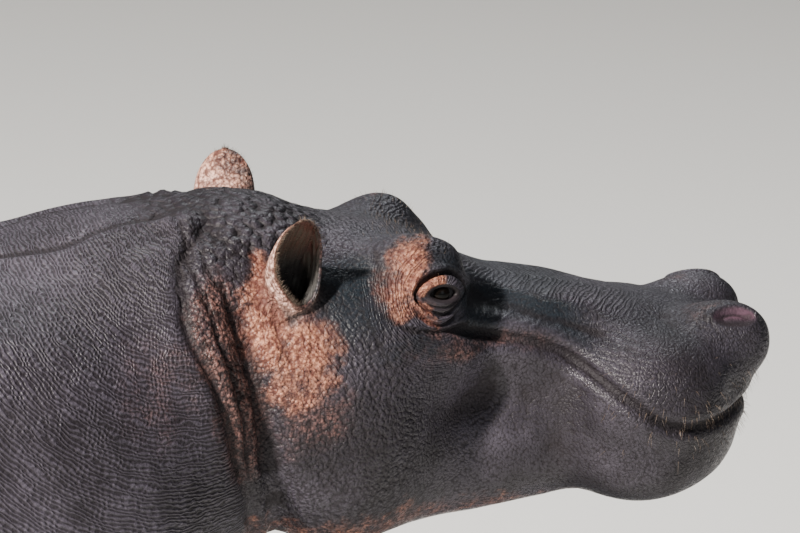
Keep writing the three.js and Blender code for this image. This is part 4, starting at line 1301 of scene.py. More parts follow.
def regions(p):
    """Shares of each sort of hide at each point, and of painted shade and highlight."""
    x, s, z = one_side(p).T
    warm = patches(p, WARM_PATCHES, seed=71, ragged=12)
    left = left_share(p)
    warm *= 1 - 0.8 * left * soft_step(z, 1318, 1345) * soft_step(s, 650, 610)
    halo = 0.75 * soft_step(warm, 0.04, 0.5)
    rear = behind_ear(p)
    ear = (part == EAR_BACK) * (1 - taken_up)
    warm = np.where(part == EAR_BACK, np.maximum(warm, (0.5 + 0.65 * rear) * (1 - taken_up)), warm)
    warm = np.where(part == EAR_RIM, 0.6 * rear, np.where(part == EAR_CUP, soft_step(z, 1315, 1390), warm))
    muzzle = soft_step(s + value_noise(p, 80, seed=74) * 40, 330, 200)
    # The waist of the snout, between the bridge's edge and the mouth, painted dark as the shade under the bridge's
    # edge.
    below = soft_step(over_line(BRIDGE_EDGE, s, z) + value_noise(p, 40, seed=75) * 6, 4, -5)
    above = soft_step(over_line(MOUTH_LINE, s, z), 14, 40)
    waist_shade = soft_step(s, 215, 290) * soft_step(s, 480, 440) * below * above * (x > 50)
    # Round the eye, the upper lid is warm but for its front, the lower lid is dark and smooth, and both lie between
    # creases painted dark as shade.
    out, angle = round_eye(p)
    lids = (part == LIDS) * soft_step(out, 21, 15)
    upper, front = soft_step(np.sin(angle), -0.25, 0.05), soft_step(np.cos(angle), -0.35, 0.5)
    warm = mix(warm, 1.2 * (1 - front), lids * upper)
    smooth_lid = mix(19, 9, soft_step(-np.cos(angle), 0.0, 0.8))
    under = (part == LIDS) * (1 - upper)
    warm = mix(warm, 0.0, under * soft_step(out, smooth_lid + 1, smooth_lid - 3))
    bag = under * soft_step(out, smooth_lid, smooth_lid + 5) * soft_step(out, 44, 30)
    warm = np.maximum(warm, 0.75 * bag * soft_step(-np.cos(angle), -0.3, 0.3))
    # Painted shade in the deep crease over the upper lid.
    lid_crease_shade = (part == LIDS) * upper * bell((out - UPPER_FOLDS[1][1]) / 3.0)
    warm = warm * (1 - lid_crease_shade)
    # In the nostril the upper wall is pink, most at the front, and fades into the dark floor.
    ahead, up = round_nostril(p)
    trough = (part == NOSE) * soft_step(np.hypot(ahead / NOSTRIL_OVAL[0], (up - 1) / NOSTRIL_OVAL[1]), 1.12, 0.9)
    pink = trough * soft_step(up, -9, 6) * mix(0.5, 1.0, soft_step(ahead, -22, 20))
    cheek = soft_step(s, 470, 560) * soft_step(s, 800, 760) * soft_step(z, 1300, 1240)
    brow = soft_step(s, 440, 480) * soft_step(s, 640, 600) * soft_step(z, 1320, 1345) * 0.7
    cool_tone_and_shade = patches(p, COOL_AND_SHADE_PATCHES, seed=77, ragged=14) * np.where(part == EAR_BACK, taken_up, 1) * (1 - lids * upper)
    brown = np.maximum(patches(p, BROWN_PATCHES, seed=83, ragged=12), halo)
    pebbled = np.maximum.reduce([pebble_share(p), cheek * 0.8, brow, soft_step(warm, 0.3, 0.9) * 0.7])
    # The backs of the ears are pale skin, with painted light that makes the right ear's back paler than the left's.
    pale_and_lit_back = mix(1.12, 0.8, left) * ear * (0.35 + 0.65 * rear) * soft_step(z, 1440, 1370)
    lower_lid = 0.9 * under * soft_step(out, smooth_lid + 1, smooth_lid - 3)
    return {
        "warm": warm,
        "cool_tone_and_shade": np.maximum(cool_tone_and_shade, waist_shade),
        "pebbled": pebbled * (part < EAR_RIM),
        "pale": pale_and_lit_back + (part == EAR_RIM) * 0.2 * rear,
        "brown": np.where(part < EAR_BACK, brown, part == EAR_RIM),
        "cobbled": nape_share(p),
        "cracked": muzzle,
        "cup": (part == EAR_CUP).astype(float),
        "lid": (part == LID_RIM) + lower_lid + 0.85 * trough * soft_step(up, 4, -9),
        "nose": pink,
        # The hollows get painted shade and highlight; the crease over the upper lid and the upper lid's inner rim get
        # painted shadow.
        "hollow": np.maximum.reduce([hollow, lid_crease_shade, (part == LID_RIM) * upper]),
    }


# Station and height of the point that the body's wrinkles circle.
WITHERS = (820.0, 1480.0)


def grain(p):
    """How strongly each place is wrinkled, and its coordinates across and along the wrinkles.

    On the body they circle a point over the withers, and behind the eye its middle. They cross the eye's lids and
    the bridge of the nose, lie level below it, slant over the cheek and run down the ear's cup.
    """
    x, s, z = one_side(p).T
    ds, dz, es, ez = s - WITHERS[0], z - WITHERS[1], s - EYE[1], z - EYE[2]
    off, mouth = over_line(BRIDGE_EDGE, s, z), over_line(MOUTH_LINE, s, z)
    nose_only = soft_step(s, 470, 420) * soft_step(s, 120, 200)
    far = np.hypot(es, ez)
    out, angle = round_eye(p)
    places = [
        soft_step(behind_line(NECK_EDGE, s, z), -2, 12) * (1 - pebble_share(p)) * (1 - 0.5 * nape_share(p)),
        soft_step(es, -30, 5) * soft_step(far, 150, 50) * soft_step(out, 17, 22) * (part <= LIDS) * 0.8,
        (part == LIDS) * soft_step(out, 18, 14) * soft_step(np.sin(angle), -0.1, 0.2) * 0.7,
        nose_only * soft_step(off, -6, 4) * soft_step(x, 140, 120) * 0.9,
        nose_only * soft_step(off, -4, -14) * soft_step(mouth, 6, 30) * 0.45,
        bell(np.hypot((s - 655) / 66, (z - 1222) / 52)) * soft_step(x, 120, 160) * 0.95,
        (part == EAR_CUP) * 0.9,
    ]
    ways = [
        [np.hypot(ds, dz), np.arctan2(dz, np.maximum(ds, 1e-3)) * 400, p[:, 0]],
        [far * 1.35, np.arctan2(ez, es) * 60, x],
        [angle * 34, out, x],
        [0.72 * (s - 0.5 * x), 0.72 * x, 0.72 * z],
        [z + 0.2 * x, s * 0.6, x * 0.5],
        [0.72 * (0.8 * s - 0.6 * z), 0.72 * (0.6 * s + 0.8 * z), 0.72 * x],
        [0.9 * (s + 0.2 * z), 0.5 * z, 0.5 * x],
    ]
    best = np.argmax(places, axis=0)
    row = np.arange(len(p))
    return np.max(places, axis=0), np.stack(ways)[best, :, row] / 1000


for name, values in regions(points).items():
    mark_points(skin, name, values)
lined, across_and_along = grain(points)
mark_points(skin, "lined", lined)
mark_points(skin, "grain", across_and_along)
print("regions marked")

# %% [markdown]
# ## The look of wet hide
#
# A hippopotamus is slate grey, with warm pink-brown skin where the hide is thin: behind the ears, over the eyes
# and in the folds. Its surface is a net of small creases. So the material mixes colours by the regions marked
# above, and its bump adds a fine cell pattern everywhere, round pebbles, long wrinkles or cracks by region.
# Raised skin shines a little, since it is damp, and is painted lighter as highlight; creases and hollows are painted
# dark as shade and stay dull.

# %% Node helpers
class Nodes:
    """Adds nodes to a tree and links them, so that a material reads as a list of steps."""

    def __init__(self, tree):
        self.tree = tree

    def add(self, kind, inputs=None, **settings):
        node = self.tree.nodes.new("ShaderNode" + kind)
        for key, value in settings.items():
            setattr(node, key, value)
        return self.fill(node, inputs or {})

    def fill(self, node, inputs):
        """Links each input to a socket, or sets it to a value."""
        for key, value in inputs.items():
            self.put(node.inputs[key], value)
        return node

    def put(self, socket, value):
        if isinstance(value, bpy.types.NodeSocket):
            self.tree.links.new(value, socket)
        elif isinstance(value, tuple) and len(value) == 3 and socket.type == "RGBA":
            socket.default_value = (*value, 1.0)
        else:
            socket.default_value = value

    def place(self):
        return self.add("TexCoord").outputs["Object"]

    def attribute(self, name, output="Fac"):
        return self.add("Attribute", attribute_name=name).outputs[output]

    def maths(self, operation, *values, clamp=False):
        node = self.add("Math", operation=operation, use_clamp=clamp)
        for socket, value in zip(node.inputs, values):
            self.put(socket, value)
        return node.outputs[0]

    def times(self, a, b, clamp=False):
        return self.maths("MULTIPLY", a, b, clamp=clamp)

    def plus(self, a, b, clamp=False):
        return self.maths("ADD", a, b, clamp=clamp)

    def less(self, a, b):
        return self.maths("SUBTRACT", a, b)

    def highest(self, a, b):
        return self.maths("MAXIMUM", a, b)

    def blend(self, share, a, b):
        return self.add("Mix", {0: share, 6: a, 7: b}, data_type="RGBA").outputs[2]

    def levels(self, value, low, high, to_low=0.0, to_high=1.0):
        keys = {"Value": value, "From Min": low, "From Max": high, "To Min": to_low, "To Max": to_high}
        return self.add("MapRange", keys, interpolation_type="SMOOTHSTEP").outputs[0]

    def noise(self, vector, scale, detail=3.0, rough=0.55):
        keys = {"Vector": vector, "Scale": scale, "Detail": detail, "Roughness": rough}
        return self.add("TexNoise", keys).outputs["Fac"]

    def cells(self, vector, scale, feature="F1"):
        keys = {"Vector": vector, "Scale": scale}
        return self.add("TexVoronoi", keys, feature=feature).outputs["Distance"]

    def scaled(self, vector, by):
        return self.add("VectorMath", {0: vector, 1: by}, operation="MULTIPLY").outputs[0]

    def moved(self, vector, by, strength):
        """A vector pushed about by noise, which makes straight patterns wander."""
        noise = self.add("TexNoise", {"Vector": vector, "Scale": by, "Detail": 2.0}).outputs["Color"]
        centred = self.add("VectorMath", {0: noise, 1: (0.5, 0.5, 0.5)}, operation="SUBTRACT").outputs[0]
        keys = {0: centred, "Scale": strength}
        push = self.add("VectorMath", keys, operation="SCALE").outputs[0]
        return self.add("VectorMath", {0: vector, 1: push}, operation="ADD").outputs[0]


def new_material(name):
    material = bpy.data.materials.new(name)
    material.use_nodes = True
    tree = material.node_tree
    tree.nodes.clear()
    nodes = Nodes(tree)
    shader = nodes.add("BsdfPrincipled")
    nodes.add("OutputMaterial", {"Surface": shader.outputs[0]})
    return material, nodes, shader


def effect_group(name, inputs, outputs):
    """A shader node group with named inputs and outputs."""
    tree = bpy.data.node_groups.new(name, "ShaderNodeTree")
    for label, kind, value in inputs:
        socket = tree.interface.new_socket(label, in_out="INPUT", socket_type=kind)
        if value is not None:
            socket.default_value = value
    for label, kind in outputs:
        tree.interface.new_socket(label, in_out="OUTPUT", socket_type=kind)
    nodes = Nodes(tree)
    return tree, nodes, tree.nodes.new("NodeGroupInput").outputs, tree.nodes.new("NodeGroupOutput").inputs


print("node helpers ready")

# %% Shared effects
VECTOR, VALUE, COLOUR = "NodeSocketVector", "NodeSocketFloat", "NodeSocketColor"


def make_uneven():
    """A colour made lighter and darker by slow and quick noise, as skin, horn and hair all are."""
    inputs = [("Vector", VECTOR, None), ("Colour", COLOUR, None), ("Scale", VALUE, 10.0), ("Strength", VALUE, 0.3)]
    tree, n, given, out = effect_group("uneven_colour", inputs, [("Colour", COLOUR)])
    slow = n.noise(given["Vector"], given["Scale"], detail=4.0)
    quick = n.noise(given["Vector"], n.times(given["Scale"], 9.0), detail=3.0)
    both = n.plus(n.times(slow, 0.65), n.times(quick, 0.35))
    swing = n.times(n.less(both, 0.5), given["Strength"])
    gain = n.plus(n.times(swing, 4.0), 1.0)
    scaled = n.add("VectorMath", {0: given["Colour"], "Scale": gain}, operation="SCALE")
    n.put(out["Colour"], scaled.outputs[0])
    return tree


def make_beads():
    """Small rounded bumps side by side: one less the distance to the nearest seed to the power 1.7."""
    inputs = [("Vector", VECTOR, None), ("Scale", VALUE, 250.0)]
    tree, n, given, out = effect_group("beads", inputs, [("Height", VALUE), ("Crease", VALUE)])
    near = n.cells(n.moved(given["Vector"], 45.0, 0.008), given["Scale"])
    n.put(out["Height"], n.less(1.0, n.maths("POWER", near, 1.7)))
    n.put(out["Crease"], n.levels(near, 0.42, 0.78))
    return tree


def make_hide_cells():
    """A net of creases round small raised cells: high inside each cell and low on its border."""
    inputs = [("Vector", VECTOR, None), ("Scale", VALUE, 100.0), ("Sharpness", VALUE, 0.12)]
    tree, n, given, out = effect_group("hide_cells", inputs, [("Height", VALUE), ("Crease", VALUE)])
    wandering = n.moved(given["Vector"], 60.0, 0.006)
    border = n.cells(wandering, given["Scale"], feature="DISTANCE_TO_EDGE")
    height = n.levels(border, 0.0, given["Sharpness"])
    n.put(out["Height"], height)
    n.put(out["Crease"], n.less(1.0, height))
    return tree


def make_wrinkles():
    """Crests side by side that wander, fork and join: the cosine of the turns counted across them.

    Noise stretched along the crests pushes the turns about.
    """
    inputs = [("Grain", VECTOR, None), ("Across", VECTOR, None), ("Wander", VALUE, 3.0)]
    tree, n, given, out = effect_group("wrinkles", inputs, [("Crest", VALUE)])
    product = n.add("VectorMath", {0: given["Grain"], 1: given["Across"]}, operation="DOT_PRODUCT")
    push = n.noise(n.scaled(given["Grain"], (62.0, 21.0, 30.0)), 1.0, detail=2.0, rough=0.6)
    turns = n.plus(product.outputs["Value"], n.times(push, given["Wander"]))
    wave = n.maths("COSINE", n.times(turns, 2 * np.pi))
    n.put(out["Crest"], n.levels(wave, -0.8, 1.0))
    return tree


UNEVEN, BEADS, HIDE_CELLS, WRINKLES = make_uneven(), make_beads(), make_hide_cells(), make_wrinkles()


def use(nodes, tree, inputs):
    """Places a node group and fills in its inputs."""
    return nodes.add("Group", inputs, node_tree=tree).outputs


def uneven(nodes, place, colour, scale, strength):
    keys = {"Vector": place, "Colour": colour, "Scale": scale, "Strength": strength}
    return use(nodes, UNEVEN, keys)["Colour"]


# %% Skin material
# Slate, and the lighter slate of random blotches and of the painted highlight on raised skin and wrinkle crests.
SLATE, SLATE_LIGHT_AND_HIGHLIGHT = (0.014, 0.0120, 0.0155), (0.078, 0.069, 0.090)
BROWN, BROWN_DEEP = (0.150, 0.076, 0.066), (0.028, 0.015, 0.014)
# The last is pale skin with painted light, for the backs of the ears.
WARM, WARM_DEEP, PALE_AND_LIT = (0.43, 0.198, 0.124), (0.115, 0.043, 0.031), (0.62, 0.40, 0.33)
# Cool dark skin that is in part painted shade, then the painted shade of hollows and creases, dark and warm.
COOL_TONE_AND_SHADE, SHADE_DARK, SHADE_WARM = (0.009, 0.013, 0.017), (0.006, 0.004, 0.005), (0.055, 0.016, 0.012)
CUP_GREY, CUP_BROWN = (0.046, 0.044, 0.041), (0.032, 0.025, 0.017)
LID_DARK, NOSE_PINK = (0.016, 0.013, 0.015), (0.078, 0.042, 0.060)

SKIN_SHARES = ["warm", "cool_tone_and_shade", "pebbled", "lined", "cracked", "hollow"]
SKIN_SHARES += ["cup", "lid", "nose", "pale", "brown", "cobbled"]
# Beads to a metre: the small ones everywhere, those of pebbled hide and the nape's cobbles.
BEAD_SCALES = (240.0, 150.0, 70.0)
BUMP_DISTANCE = 0.0016
SKIN_SPECULAR = 0.19


def make_skin_material():
    material, n, shader = new_material("wet_hide")
    place = n.place()
    grain_way = n.attribute("grain", "Vector")
    warm, cool_tone_and_shade, pebbled, lined, cracked, hollow = map(n.attribute, SKIN_SHARES[:6])
    cup, lid, nose, pale, brown, cobbled = map(n.attribute, SKIN_SHARES[6:])
    # Heights, in shares of the bump's distance.
    small, beads, cobbles = (use(n, BEADS, {"Vector": place, "Scale": scale}) for scale in BEAD_SCALES)
    wide = use(n, HIDE_CELLS, {"Vector": place, "Scale": 125.0, "Sharpness": 0.16})
    patchy = n.less(n.noise(place, 34.0, detail=5.0, rough=0.65), 0.5)
    long_crests = use(n, WRINKLES, {"Grain": grain_way, "Across": (175.0, 0.0, 0.0), "Wander": 3.2})["Crest"]
    cross_crests = use(n, WRINKLES, {"Grain": grain_way, "Across": (60.0, 105.0, 20.0), "Wander": 3.6})["Crest"]
    cross_share = n.levels(patchy, -0.12, 0.16, 0.15, 0.75)
    crests = n.plus(long_crests, n.times(cross_crests, cross_share))
    crests = n.times(crests, 0.66, clamp=True)
    smooth = n.less(1.0, n.times(n.highest(nose, lid), 0.85))
    terms = [
        (small["Height"], n.maths("MULTIPLY_ADD", lined, -0.25, 0.65)),
        (wide["Height"], n.times(cracked, 0.35)),
        (crests, n.times(lined, 0.95)),
        (beads["Height"], n.times(pebbled, n.maths("MULTIPLY_ADD", cobbled, -1.5, 2.0))),
        (cobbles["Height"], n.times(cobbled, 4.5)),
        (n.noise(place, 620.0, detail=3.0), 0.34),
    ]
    height = 0.0
    for value, weight in terms:
        height = n.plus(height, n.times(value, weight))
    height = n.times(height, smooth)
    # How deep in a crease a point lies, for painted shade in the colour and for gloss: the net's creases and the skin's
    # own hollows, and how raised it is, for painted highlight.
    line_shade = n.times(n.less(1.0, crests), n.times(lined, 0.8))
    crack_shade = n.times(wide["Crease"], n.times(cracked, 0.5))
    bead_share = n.times(pebbled, n.maths("MULTIPLY_ADD", cobbled, -0.7, 1.0))
    bead_shade = n.times(beads["Crease"], bead_share)
    crease_shade = n.highest(n.highest(line_shade, crack_shade), bead_shade)
    crease_shade = n.highest(crease_shade, n.times(cobbles["Crease"], cobbled))
    crease_shade = n.highest(crease_shade, n.times(small["Crease"], n.maths("MULTIPLY_ADD", lined, -0.4, 0.8)))
    crease_shade = n.times(crease_shade, smooth)
    # Painted shade in the skin's hollows and painted highlight on its raised parts.
    hollow_shade = n.levels(hollow, 0.05, 0.62)
    raised_highlight = n.levels(hollow, -0.05, -0.6)
    # Colours.
    blotch = n.levels(n.noise(place, 5.5, detail=5.0, rough=0.6), 0.36, 0.68)
    # Lighter slate: random blotches, with painted highlight on raised skin and on the crests of wrinkles.
    tone_and_highlight = n.plus(n.times(blotch, 0.45), n.times(raised_highlight, 0.35))
    tone_and_highlight = n.plus(tone_and_highlight, n.times(crests, n.times(lined, 0.5)), clamp=True)
    slate = n.blend(tone_and_highlight, SLATE, SLATE_LIGHT_AND_HIGHLIGHT)
    near_warm = n.times(patchy, n.levels(warm, 0.0, 0.2, 0.0, 2.2))
    warm_share = n.levels(n.plus(warm, near_warm), 0.2, 1.2)
    flecks = n.levels(n.noise(place, 110.0, detail=5.0, rough=0.75), 0.40, 0.60)
    # Lighter flecks of hide, with painted shade in the small creases and painted highlight on raised skin.
    raised = n.less(n.times(flecks, 0.95), n.times(small["Crease"], 0.35))
    raised = n.plus(raised, n.times(raised_highlight, 0.35), clamp=True)
    brown_share = n.levels(n.times(brown, n.maths("MULTIPLY_ADD", patchy, 3.0, 1.0)), 0.1, 0.9)
    colour = n.blend(brown_share, slate, n.blend(raised, BROWN_DEEP, BROWN))
    colour = n.blend(warm_share, colour, n.blend(raised, WARM_DEEP, WARM))
    # Pale ear backs, with painted light on the right ear.
    colour = n.blend(n.times(pale, n.levels(flecks, 0.0, 1.0, 0.35, 0.9)), colour, PALE_AND_LIT)
    # Cool dark skin, in part painted shade.
    colour = n.blend(n.times(cool_tone_and_shade, 0.9, clamp=True), colour, COOL_TONE_AND_SHADE)
    colour = n.blend(cup, colour, n.blend(warm, CUP_GREY, CUP_BROWN))
    colour = n.blend(nose, colour, NOSE_PINK)
    colour = n.blend(lid, colour, LID_DARK)
    # Painted shade: hollows and creases are darkened towards near-black, warmer in warm skin.
    shade_colour = n.blend(warm_share, SHADE_DARK, SHADE_WARM)
    colour = n.blend(n.times(hollow_shade, 0.7), colour, shade_colour)
    colour = n.blend(n.times(crease_shade, 0.8), colour, shade_colour)
    colour = uneven(n, place, colour, 24.0, 0.26)
    damp = n.levels(n.noise(place, 16.0, detail=4.0), 0.35, 0.7, 0.22, 0.38)
    rough = n.plus(damp, n.times(n.highest(n.highest(crease_shade, hollow_shade), cup), 0.35))
    rough = n.less(rough, n.times(lid, 0.05))
    bump = n.add("Bump", {"Strength": 1.0, "Distance": BUMP_DISTANCE, "Height": height})
    n.fill(shader, {"Base Color": colour, "Roughness": rough, "Normal": bump.outputs[0]})
    n.fill(shader, {"Specular IOR Level": SKIN_SPECULAR})
    return material


skin.data.materials.append(make_skin_material())
print("skin material:", len(skin.data.materials[0].node_tree.nodes), "nodes")

# %% [markdown]
# ## Eyes
#
# The eyeball is wet and of a brown that is almost black, and nearly all of what shows is iris. The cornea stands
# a little proud of the ball, which gives the eye its small sharp highlight. The grid runs round the line of
# sight, so that one coordinate is the angle from it.

# %% Eyes
# How far the ball lies inside its CAD radius, how high the cornea swells above it, and its half width as an angle.
EYE_SUNK, CORNEA_HIGH, CORNEA_WIDE = 0.6, 1.5, 0.42


def eye_surface(side, around=64, along=40):
    """Rings round the line of sight: a ball, and a cornea that swells as a bell of the angle from that line."""
    out, ahead, up = side_axes(EYE_OUT, side)
    angle = np.pi * np.linspace(0, 1, along + 1)[1:-1, None] ** 1.35
    turn_round = 2 * np.pi * np.arange(around)[None, :] / around * side
    radius = EYE_RADIUS - EYE_SUNK + CORNEA_HIGH * bell(angle / CORNEA_WIDE)
    shape = (radius * np.sin(angle))[..., None] * (
        np.cos(turn_round)[..., None] * ahead + np.sin(turn_round)[..., None] * up
    ) + (radius * np.cos(angle) * np.ones_like(turn_round))[..., None] * out
    poles = np.array([out * (EYE_RADIUS - EYE_SUNK + CORNEA_HIGH), -out * (EYE_RADIUS - EYE_SUNK)])
    rings = np.concatenate([shape.reshape(-1, 3), poles]) + EYE * [side, 1, 1]
    sight = np.concatenate([np.repeat(angle.ravel(), around), [0, np.pi]])
    return rings, closed_rings(along - 1, around), sight


def closed_rings(count, around):
    """Faces of rings numbered in order, closed by two poles that come after them."""
    number = np.arange(count * around).reshape(count, around)
    near, far = number[:-1], number[1:]
    sides = np.stack([near, far, np.roll(far, -1, axis=1), np.roll(near, -1, axis=1)], axis=2).reshape(-1, 4)
    first, last = count * around, count * around + 1
    a, b = number[0], number[-1]
    start = np.stack([np.full(around, first), a, np.roll(a, -1)], axis=1)
    end = np.stack([np.full(around, last), np.roll(b, -1), b], axis=1)
    return sides.tolist() + start.tolist() + end.tolist()


def face_outwards(piece):
    """Turns a closed mesh's faces outwards if its volume says that they point in."""
    shape = bmesh.new()
    shape.from_mesh(piece.data)
    if shape.calc_volume(signed=True) < 0:
        bmesh.ops.reverse_faces(shape, faces=shape.faces)
        shape.to_mesh(piece.data)
    shape.free()


def make_eye_material():
    material, n, shader = new_material("wet_eye")
    sight, slit = n.attribute("sight"), n.attribute("slit")
    place = n.place()
    streaks = n.noise(n.scaled(place, (400.0, 400.0, 400.0)), 1.0, detail=3.0)
    iris = n.blend(streaks, (0.0015, 0.0012, 0.001), (0.004, 0.0026, 0.002))
    white = uneven(n, place, (0.026, 0.025, 0.027), 60.0, 0.5)
    colour = n.blend(n.levels(sight, 0.50, 0.58), iris, white)
    colour = n.blend(n.levels(slit, 1.0, 0.86), colour, (0.002, 0.002, 0.002))
    n.fill(shader, {"Base Color": colour, "Roughness": 0.10, "Specular IOR Level": 0.05})
    n.fill(shader, {"Coat Weight": 0.08, "Coat Roughness": 0.03})
    return material


eye_material = make_eye_material()
for side, name in ((1, "left"), (-1, "right")):
    where, faces, sight = eye_surface(side)
    eye = make_piece(f"eye_{name}_ball", where, faces, [f"eye_{name}"])
    face_outwards(eye)
    out, ahead, up = side_axes(EYE_OUT, side)
    offset = where - EYE * [side, 1, 1]
    mark_points(eye, "sight", sight)
    mark_points(eye, "slit", np.hypot(offset @ ahead / 6.5, offset @ up / 3.6) + 9 * (offset @ out < 0))
    eye.data.materials.append(eye_material)
print("eyes of", len(where), "points")

# %% [markdown]
# ## Toenails
#
# Each foot has four toes, and each toe ends in a short blunt nail. A nail is a dome that grows out of the toe's
# tip, with fine ridges that run down it and an edge worn smooth by the ground.

# %% Toenails
NAIL = {"size": (29.0, 25.0, 31.0), "ahead": 40.0, "height": 35.0, "tip": -20.0, "square": 2.3}


def nail_surface(leg, i, around=28, along=16):
    """Rings from top to bottom of the block |x|^n + |y|^n + |z|^n = 1, with ridges down its front."""
    _, side, out, station, stride = leg
    down = np.pi * (np.arange(1, along) / along)[:, None]
    round_way = 2 * np.pi * np.arange(around)[None, :] / around
    directions = np.stack(
        [np.sin(down) * np.cos(round_way), np.sin(down) * np.sin(round_way), np.cos(down) + 0 * round_way], axis=-1
    ).reshape(-1, 3)
    directions = np.concatenate([directions, [[0, 0, 1.0], [0, 0, -1.0]]])
    radius = (np.abs(directions) ** NAIL["square"]).sum(axis=1) ** (-1 / NAIL["square"])
    ridges = 1 + 0.012 * np.sin(directions[:, 0] * 26)
    shape = directions * (radius * ridges)[:, None] * NAIL["size"]
    angle, reach = TOE_ANGLES[i], TOE_REACHES[i] + NAIL["ahead"]
    shape = shape @ turn(NAIL["tip"], "X").T @ turn(np.degrees(side * angle), "Z").T
    x, s = reach * np.sin(angle), TOE_FAN_MIDDLE - reach * np.cos(angle)
    shape = shape + [side * (out + x), station + s + stride, NAIL["height"]]
    shape[:, 2] = np.maximum(shape[:, 2], 1.0)
    return shape, closed_rings(along - 1, around)


def make_nail_material():
    material, n, shader = new_material("toenail_horn")
    place = n.place()
    horn = uneven(n, place, (0.13, 0.098, 0.075), 40.0, 0.35)
    fine = n.noise(n.scaled(place, (420.0, 420.0, 22.0)), 1.0, detail=3.0)
    worn = n.levels(n.add("SeparateXYZ", {0: place}).outputs[2], 0.030, 0.004)
    colour = n.blend(n.times(worn, 0.6), horn, (0.21, 0.175, 0.135))
    rough = n.levels(fine, 0.3, 0.7, 0.36, 0.55)
    bump = n.add("Bump", {"Strength": 0.5, "Distance": 0.0006, "Height": fine})
    n.fill(shader, {"Base Color": colour, "Roughness": rough, "Normal": bump.outputs[0]})
    return material


nail_material = make_nail_material()
for leg_name, leg in LEGS.items():
    for i in range(len(TOE_ANGLES)):
        where, faces = nail_surface(leg, i)
        nail = make_piece(f"toenail_{leg_name}_{i + 1}", where, faces, [f"nail_{leg_name}_{i + 1}"])
        face_outwards(nail)
        nail.data.materials.append(nail_material)
print("toenails:", 4 * len(LEGS))

# %% [markdown]
# ## Bristles
#
# A hippopotamus is almost bare. Short stiff bristles grow on its lips and muzzle, on the rims of its ears and
# over its brows, and the tail ends in two rows of coarse hair. Each bristle is a thin tapered rod of three
# sides, rooted at a random place on the skin and leaned over along it.

# %% Bristles
rng = np.random.default_rng(20)
# How wide each bristle's patch is in the UV map.
BRISTLE_PATCH = 0.003


def scatter(share, count):
    """Random places on the skin: area times the share given for its points picks the triangle."""
    triangles = np.concatenate([quads[:, [0, 1, 2]], quads[:, [0, 2, 3]], fans])
    a, b, c = (points[triangles[:, k]] for k in range(3))
    area = np.linalg.norm(np.cross(b - a, c - a), axis=1) * share[triangles].mean(axis=1)
    pick = rng.choice(len(triangles), count, p=area / area.sum())
    u, v = rng.random((2, count))
    flip = u + v > 1
    u, v = np.where(flip, 1 - u, u)[:, None], np.where(flip, 1 - v, v)[:, None]
    normals = skin_normals[triangles[pick]].mean(axis=1)
    return a[pick] * (1 - u - v) + b[pick] * u + c[pick] * v, unit(normals)


def make_bristles(name, root, normal, lie, length, radius, droop):
    """Rods of three sides: the root, a leaning line that bends towards the lie, and a point at the end."""
    count, levels = len(root), 4
    length = length * rng.uniform(0.6, 1.25, count)
    way = unit(normal + lie + rng.normal(0, 0.22, (count, 3)))
    bend = unit(lie + rng.normal(0, 0.2, (count, 3))) * droop
    t = np.linspace(0, 1, levels)[None, :, None]
    line = root[:, None] - 1.5 * normal[:, None] + length[:, None, None] * (way[:, None] * t + bend[:, None] * t**2)
    side_one = unit(np.cross(way, normal + [0.013, 0.017, 0.011]))
    side_two = np.cross(way, side_one)
    rings = []
    for k in range(3):
        turned = np.cos(2 * np.pi * k / 3) * side_one + np.sin(2 * np.pi * k / 3) * side_two
        thick = radius * (1 - np.linspace(0, 0.97, levels)) ** 0.7
        rings.append(line + thick[None, :, None] * turned[:, None])
    where = np.stack(rings, axis=2).reshape(count, levels * 3, 3)
    a = np.arange(3 * (levels - 1))
    b = a - a % 3 + (a + 1) % 3
    pattern = np.stack([a, b, b + 3, a + 3], axis=1)
    ends = [[2, 1, 0], [levels * 3 - 3, levels * 3 - 2, levels * 3 - 1]]
    offsets = (np.arange(count) * levels * 3)[:, None, None]
    faces = (pattern[None] + offsets).reshape(-1, 4).tolist()
    faces += (np.array(ends)[None] + offsets).reshape(-1, 3).tolist()
    piece = make_piece(name, where.reshape(-1, 3), faces, [])
    unwrap_at_roots(piece, root, levels * 3)
    piece.data.materials.append(bristle_material)
    return piece


def unwrap_at_roots(piece, root, each):
    """OFBake: every bristle is a patch at its root's place: station along u, the turn round the body along v."""
    u = (root[:, 1] + 60) / 3400
    v = 0.5 + np.arctan2(root[:, 0], root[:, 2] - 1080 + 0.08 * root[:, 1]) / (2 * np.pi)
    corner = np.stack([np.clip(u, 0.004, 0.996), np.clip(v, 0.004, 0.996)], axis=1)
    index = np.empty(len(piece.data.loops), np.int64)
    piece.data.loops.foreach_get("vertex_index", index)
    inside = np.stack([(index % each) % 3 / 2, (index % each) // 3 / 3], axis=1) - 0.5
    layer = piece.data.uv_layers.new(name="OFBake")
    layer.data.foreach_set("uv", (corner[index // each] + inside * BRISTLE_PATCH).ravel().astype(np.float32))


def make_bristle_material():
    material, n, shader = new_material("coarse_bristle")
    place = n.place()
    colour = uneven(n, place, (0.12, 0.085, 0.062), 90.0, 0.6)
    n.fill(shader, {"Base Color": colour, "Roughness": n.levels(n.noise(place, 300.0), 0.3, 0.7, 0.32, 0.5)})
    return material


bristle_material = make_bristle_material()
skin_normals = normals_of()
px, ps, pz = one_side(points).T
near_mouth = 0.25 + bell(over_line(MOUTH_LINE, ps, pz) / 60)
muzzle_share = soft_step(ps, 300, 60) * soft_step(pz, 990, 1060) * soft_step(pz, 1180, 1130) * (part == 0) * near_mouth
brow_share = bell(np.hypot((ps - 500) / 46, (pz - 1352) / 24)) * (part < LID_RIM)
rim_share = ((part == EAR_RIM) + (part == EAR_CUP) * 0.02) * np.maximum(behind_ear(points), soft_step(pz, 1365, 1400))
tail_share = (ps > 3190) * soft_step(pz, 800, 716) * (pz > 660) * soft_step(px, 8, 16)

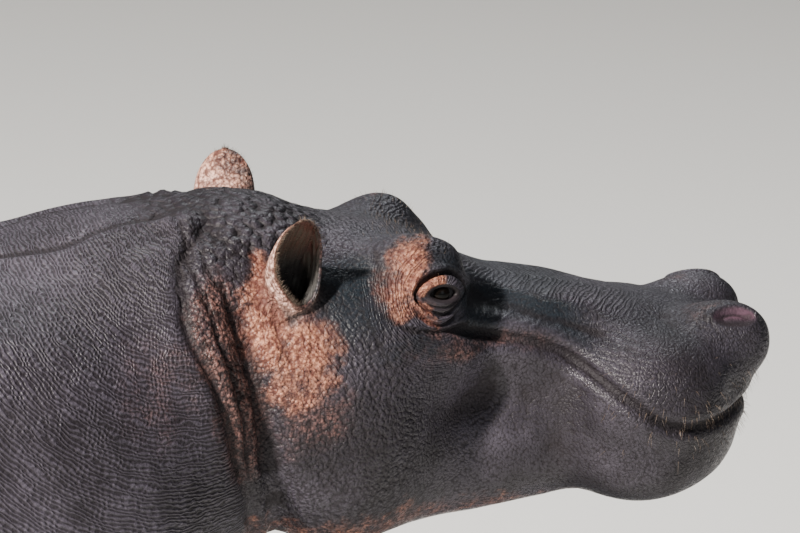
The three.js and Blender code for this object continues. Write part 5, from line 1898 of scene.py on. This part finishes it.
# Name, share, how many, the way they lie, and then length, radius and droop.
BRISTLES = [
    ("muzzle", muzzle_share, 480, [0, 0.25, -0.55], (15.0, 0.34, 0.2)),
    ("brow", brow_share, 170, [0, 0.3, 0.25], (8.5, 0.26, 0.2)),
    ("ears", rim_share, 1200, [0, -0.15, 0.45], (7.5, 0.24, 0.2)),
    ("tail", tail_share, 420, [0, 0.1, -1.5], (62.0, 0.75, 0.3)),
]
for name, share, count, lie, form in BRISTLES:
    make_bristles(f"bristles_{name}", *scatter(share, count), np.array(lie), *form)
print("bristles:", sum(row[2] for row in BRISTLES))

# %% [markdown]
# ## Floor and light
#
# A small bright light stands behind the animal, above it and to its right, like the late sun: a small light
# throws crisp shadows, which show folds. Two larger, weak ones in front fill the near side and the far side. The
# sky is pale, and the floor is plain.

# %% Stage
def make_floor():
    material, n, shader = new_material("studio_floor")
    n.fill(shader, {"Base Color": (0.72, 0.72, 0.71), "Roughness": 0.9})
    reach = 60.0
    mesh = bpy.data.meshes.new("floor")
    corners = [(-reach, -reach, 0), (reach, -reach, 0), (reach, reach, 0), (-reach, reach, 0)]
    mesh.from_pydata(corners, [], [(0, 1, 2, 3)])
    mesh.materials.append(material)
    floor = add_object("floor", mesh)


def add_area_light(name, place, aim, size, watts, colour):
    light = bpy.data.lights.new(name, "AREA")
    light.shape, light.size, light.energy, light.color = "DISK", size, watts, colour
    way = (Vector(aim) - Vector(place)).to_track_quat("-Z", "Y").to_matrix().to_4x4()
    add_object(name, light).matrix_world = Matrix.Translation(Vector(place)) @ way


make_floor()
HEAD_PLACE = (0.0, -0.95, 1.25)
add_area_light("key", (-3.4, 4.4, 6.6), HEAD_PLACE, 0.6, 3500, (1.0, 0.94, 0.86))
add_area_light("fill", (-6.5, -4.0, 3.4), HEAD_PLACE, 4.0, 70, (0.86, 0.92, 1.0))
add_area_light("rim", (4.5, -2.5, 5.0), HEAD_PLACE, 2.5, 120, (0.92, 0.96, 1.0))
world = bpy.data.worlds.new("pale_sky")
bpy.context.scene.world = world
world.use_nodes = True
sky = world.node_tree.nodes["Background"].inputs
sky["Color"].default_value, sky["Strength"].default_value = (0.80, 0.85, 0.92, 1), 0.15
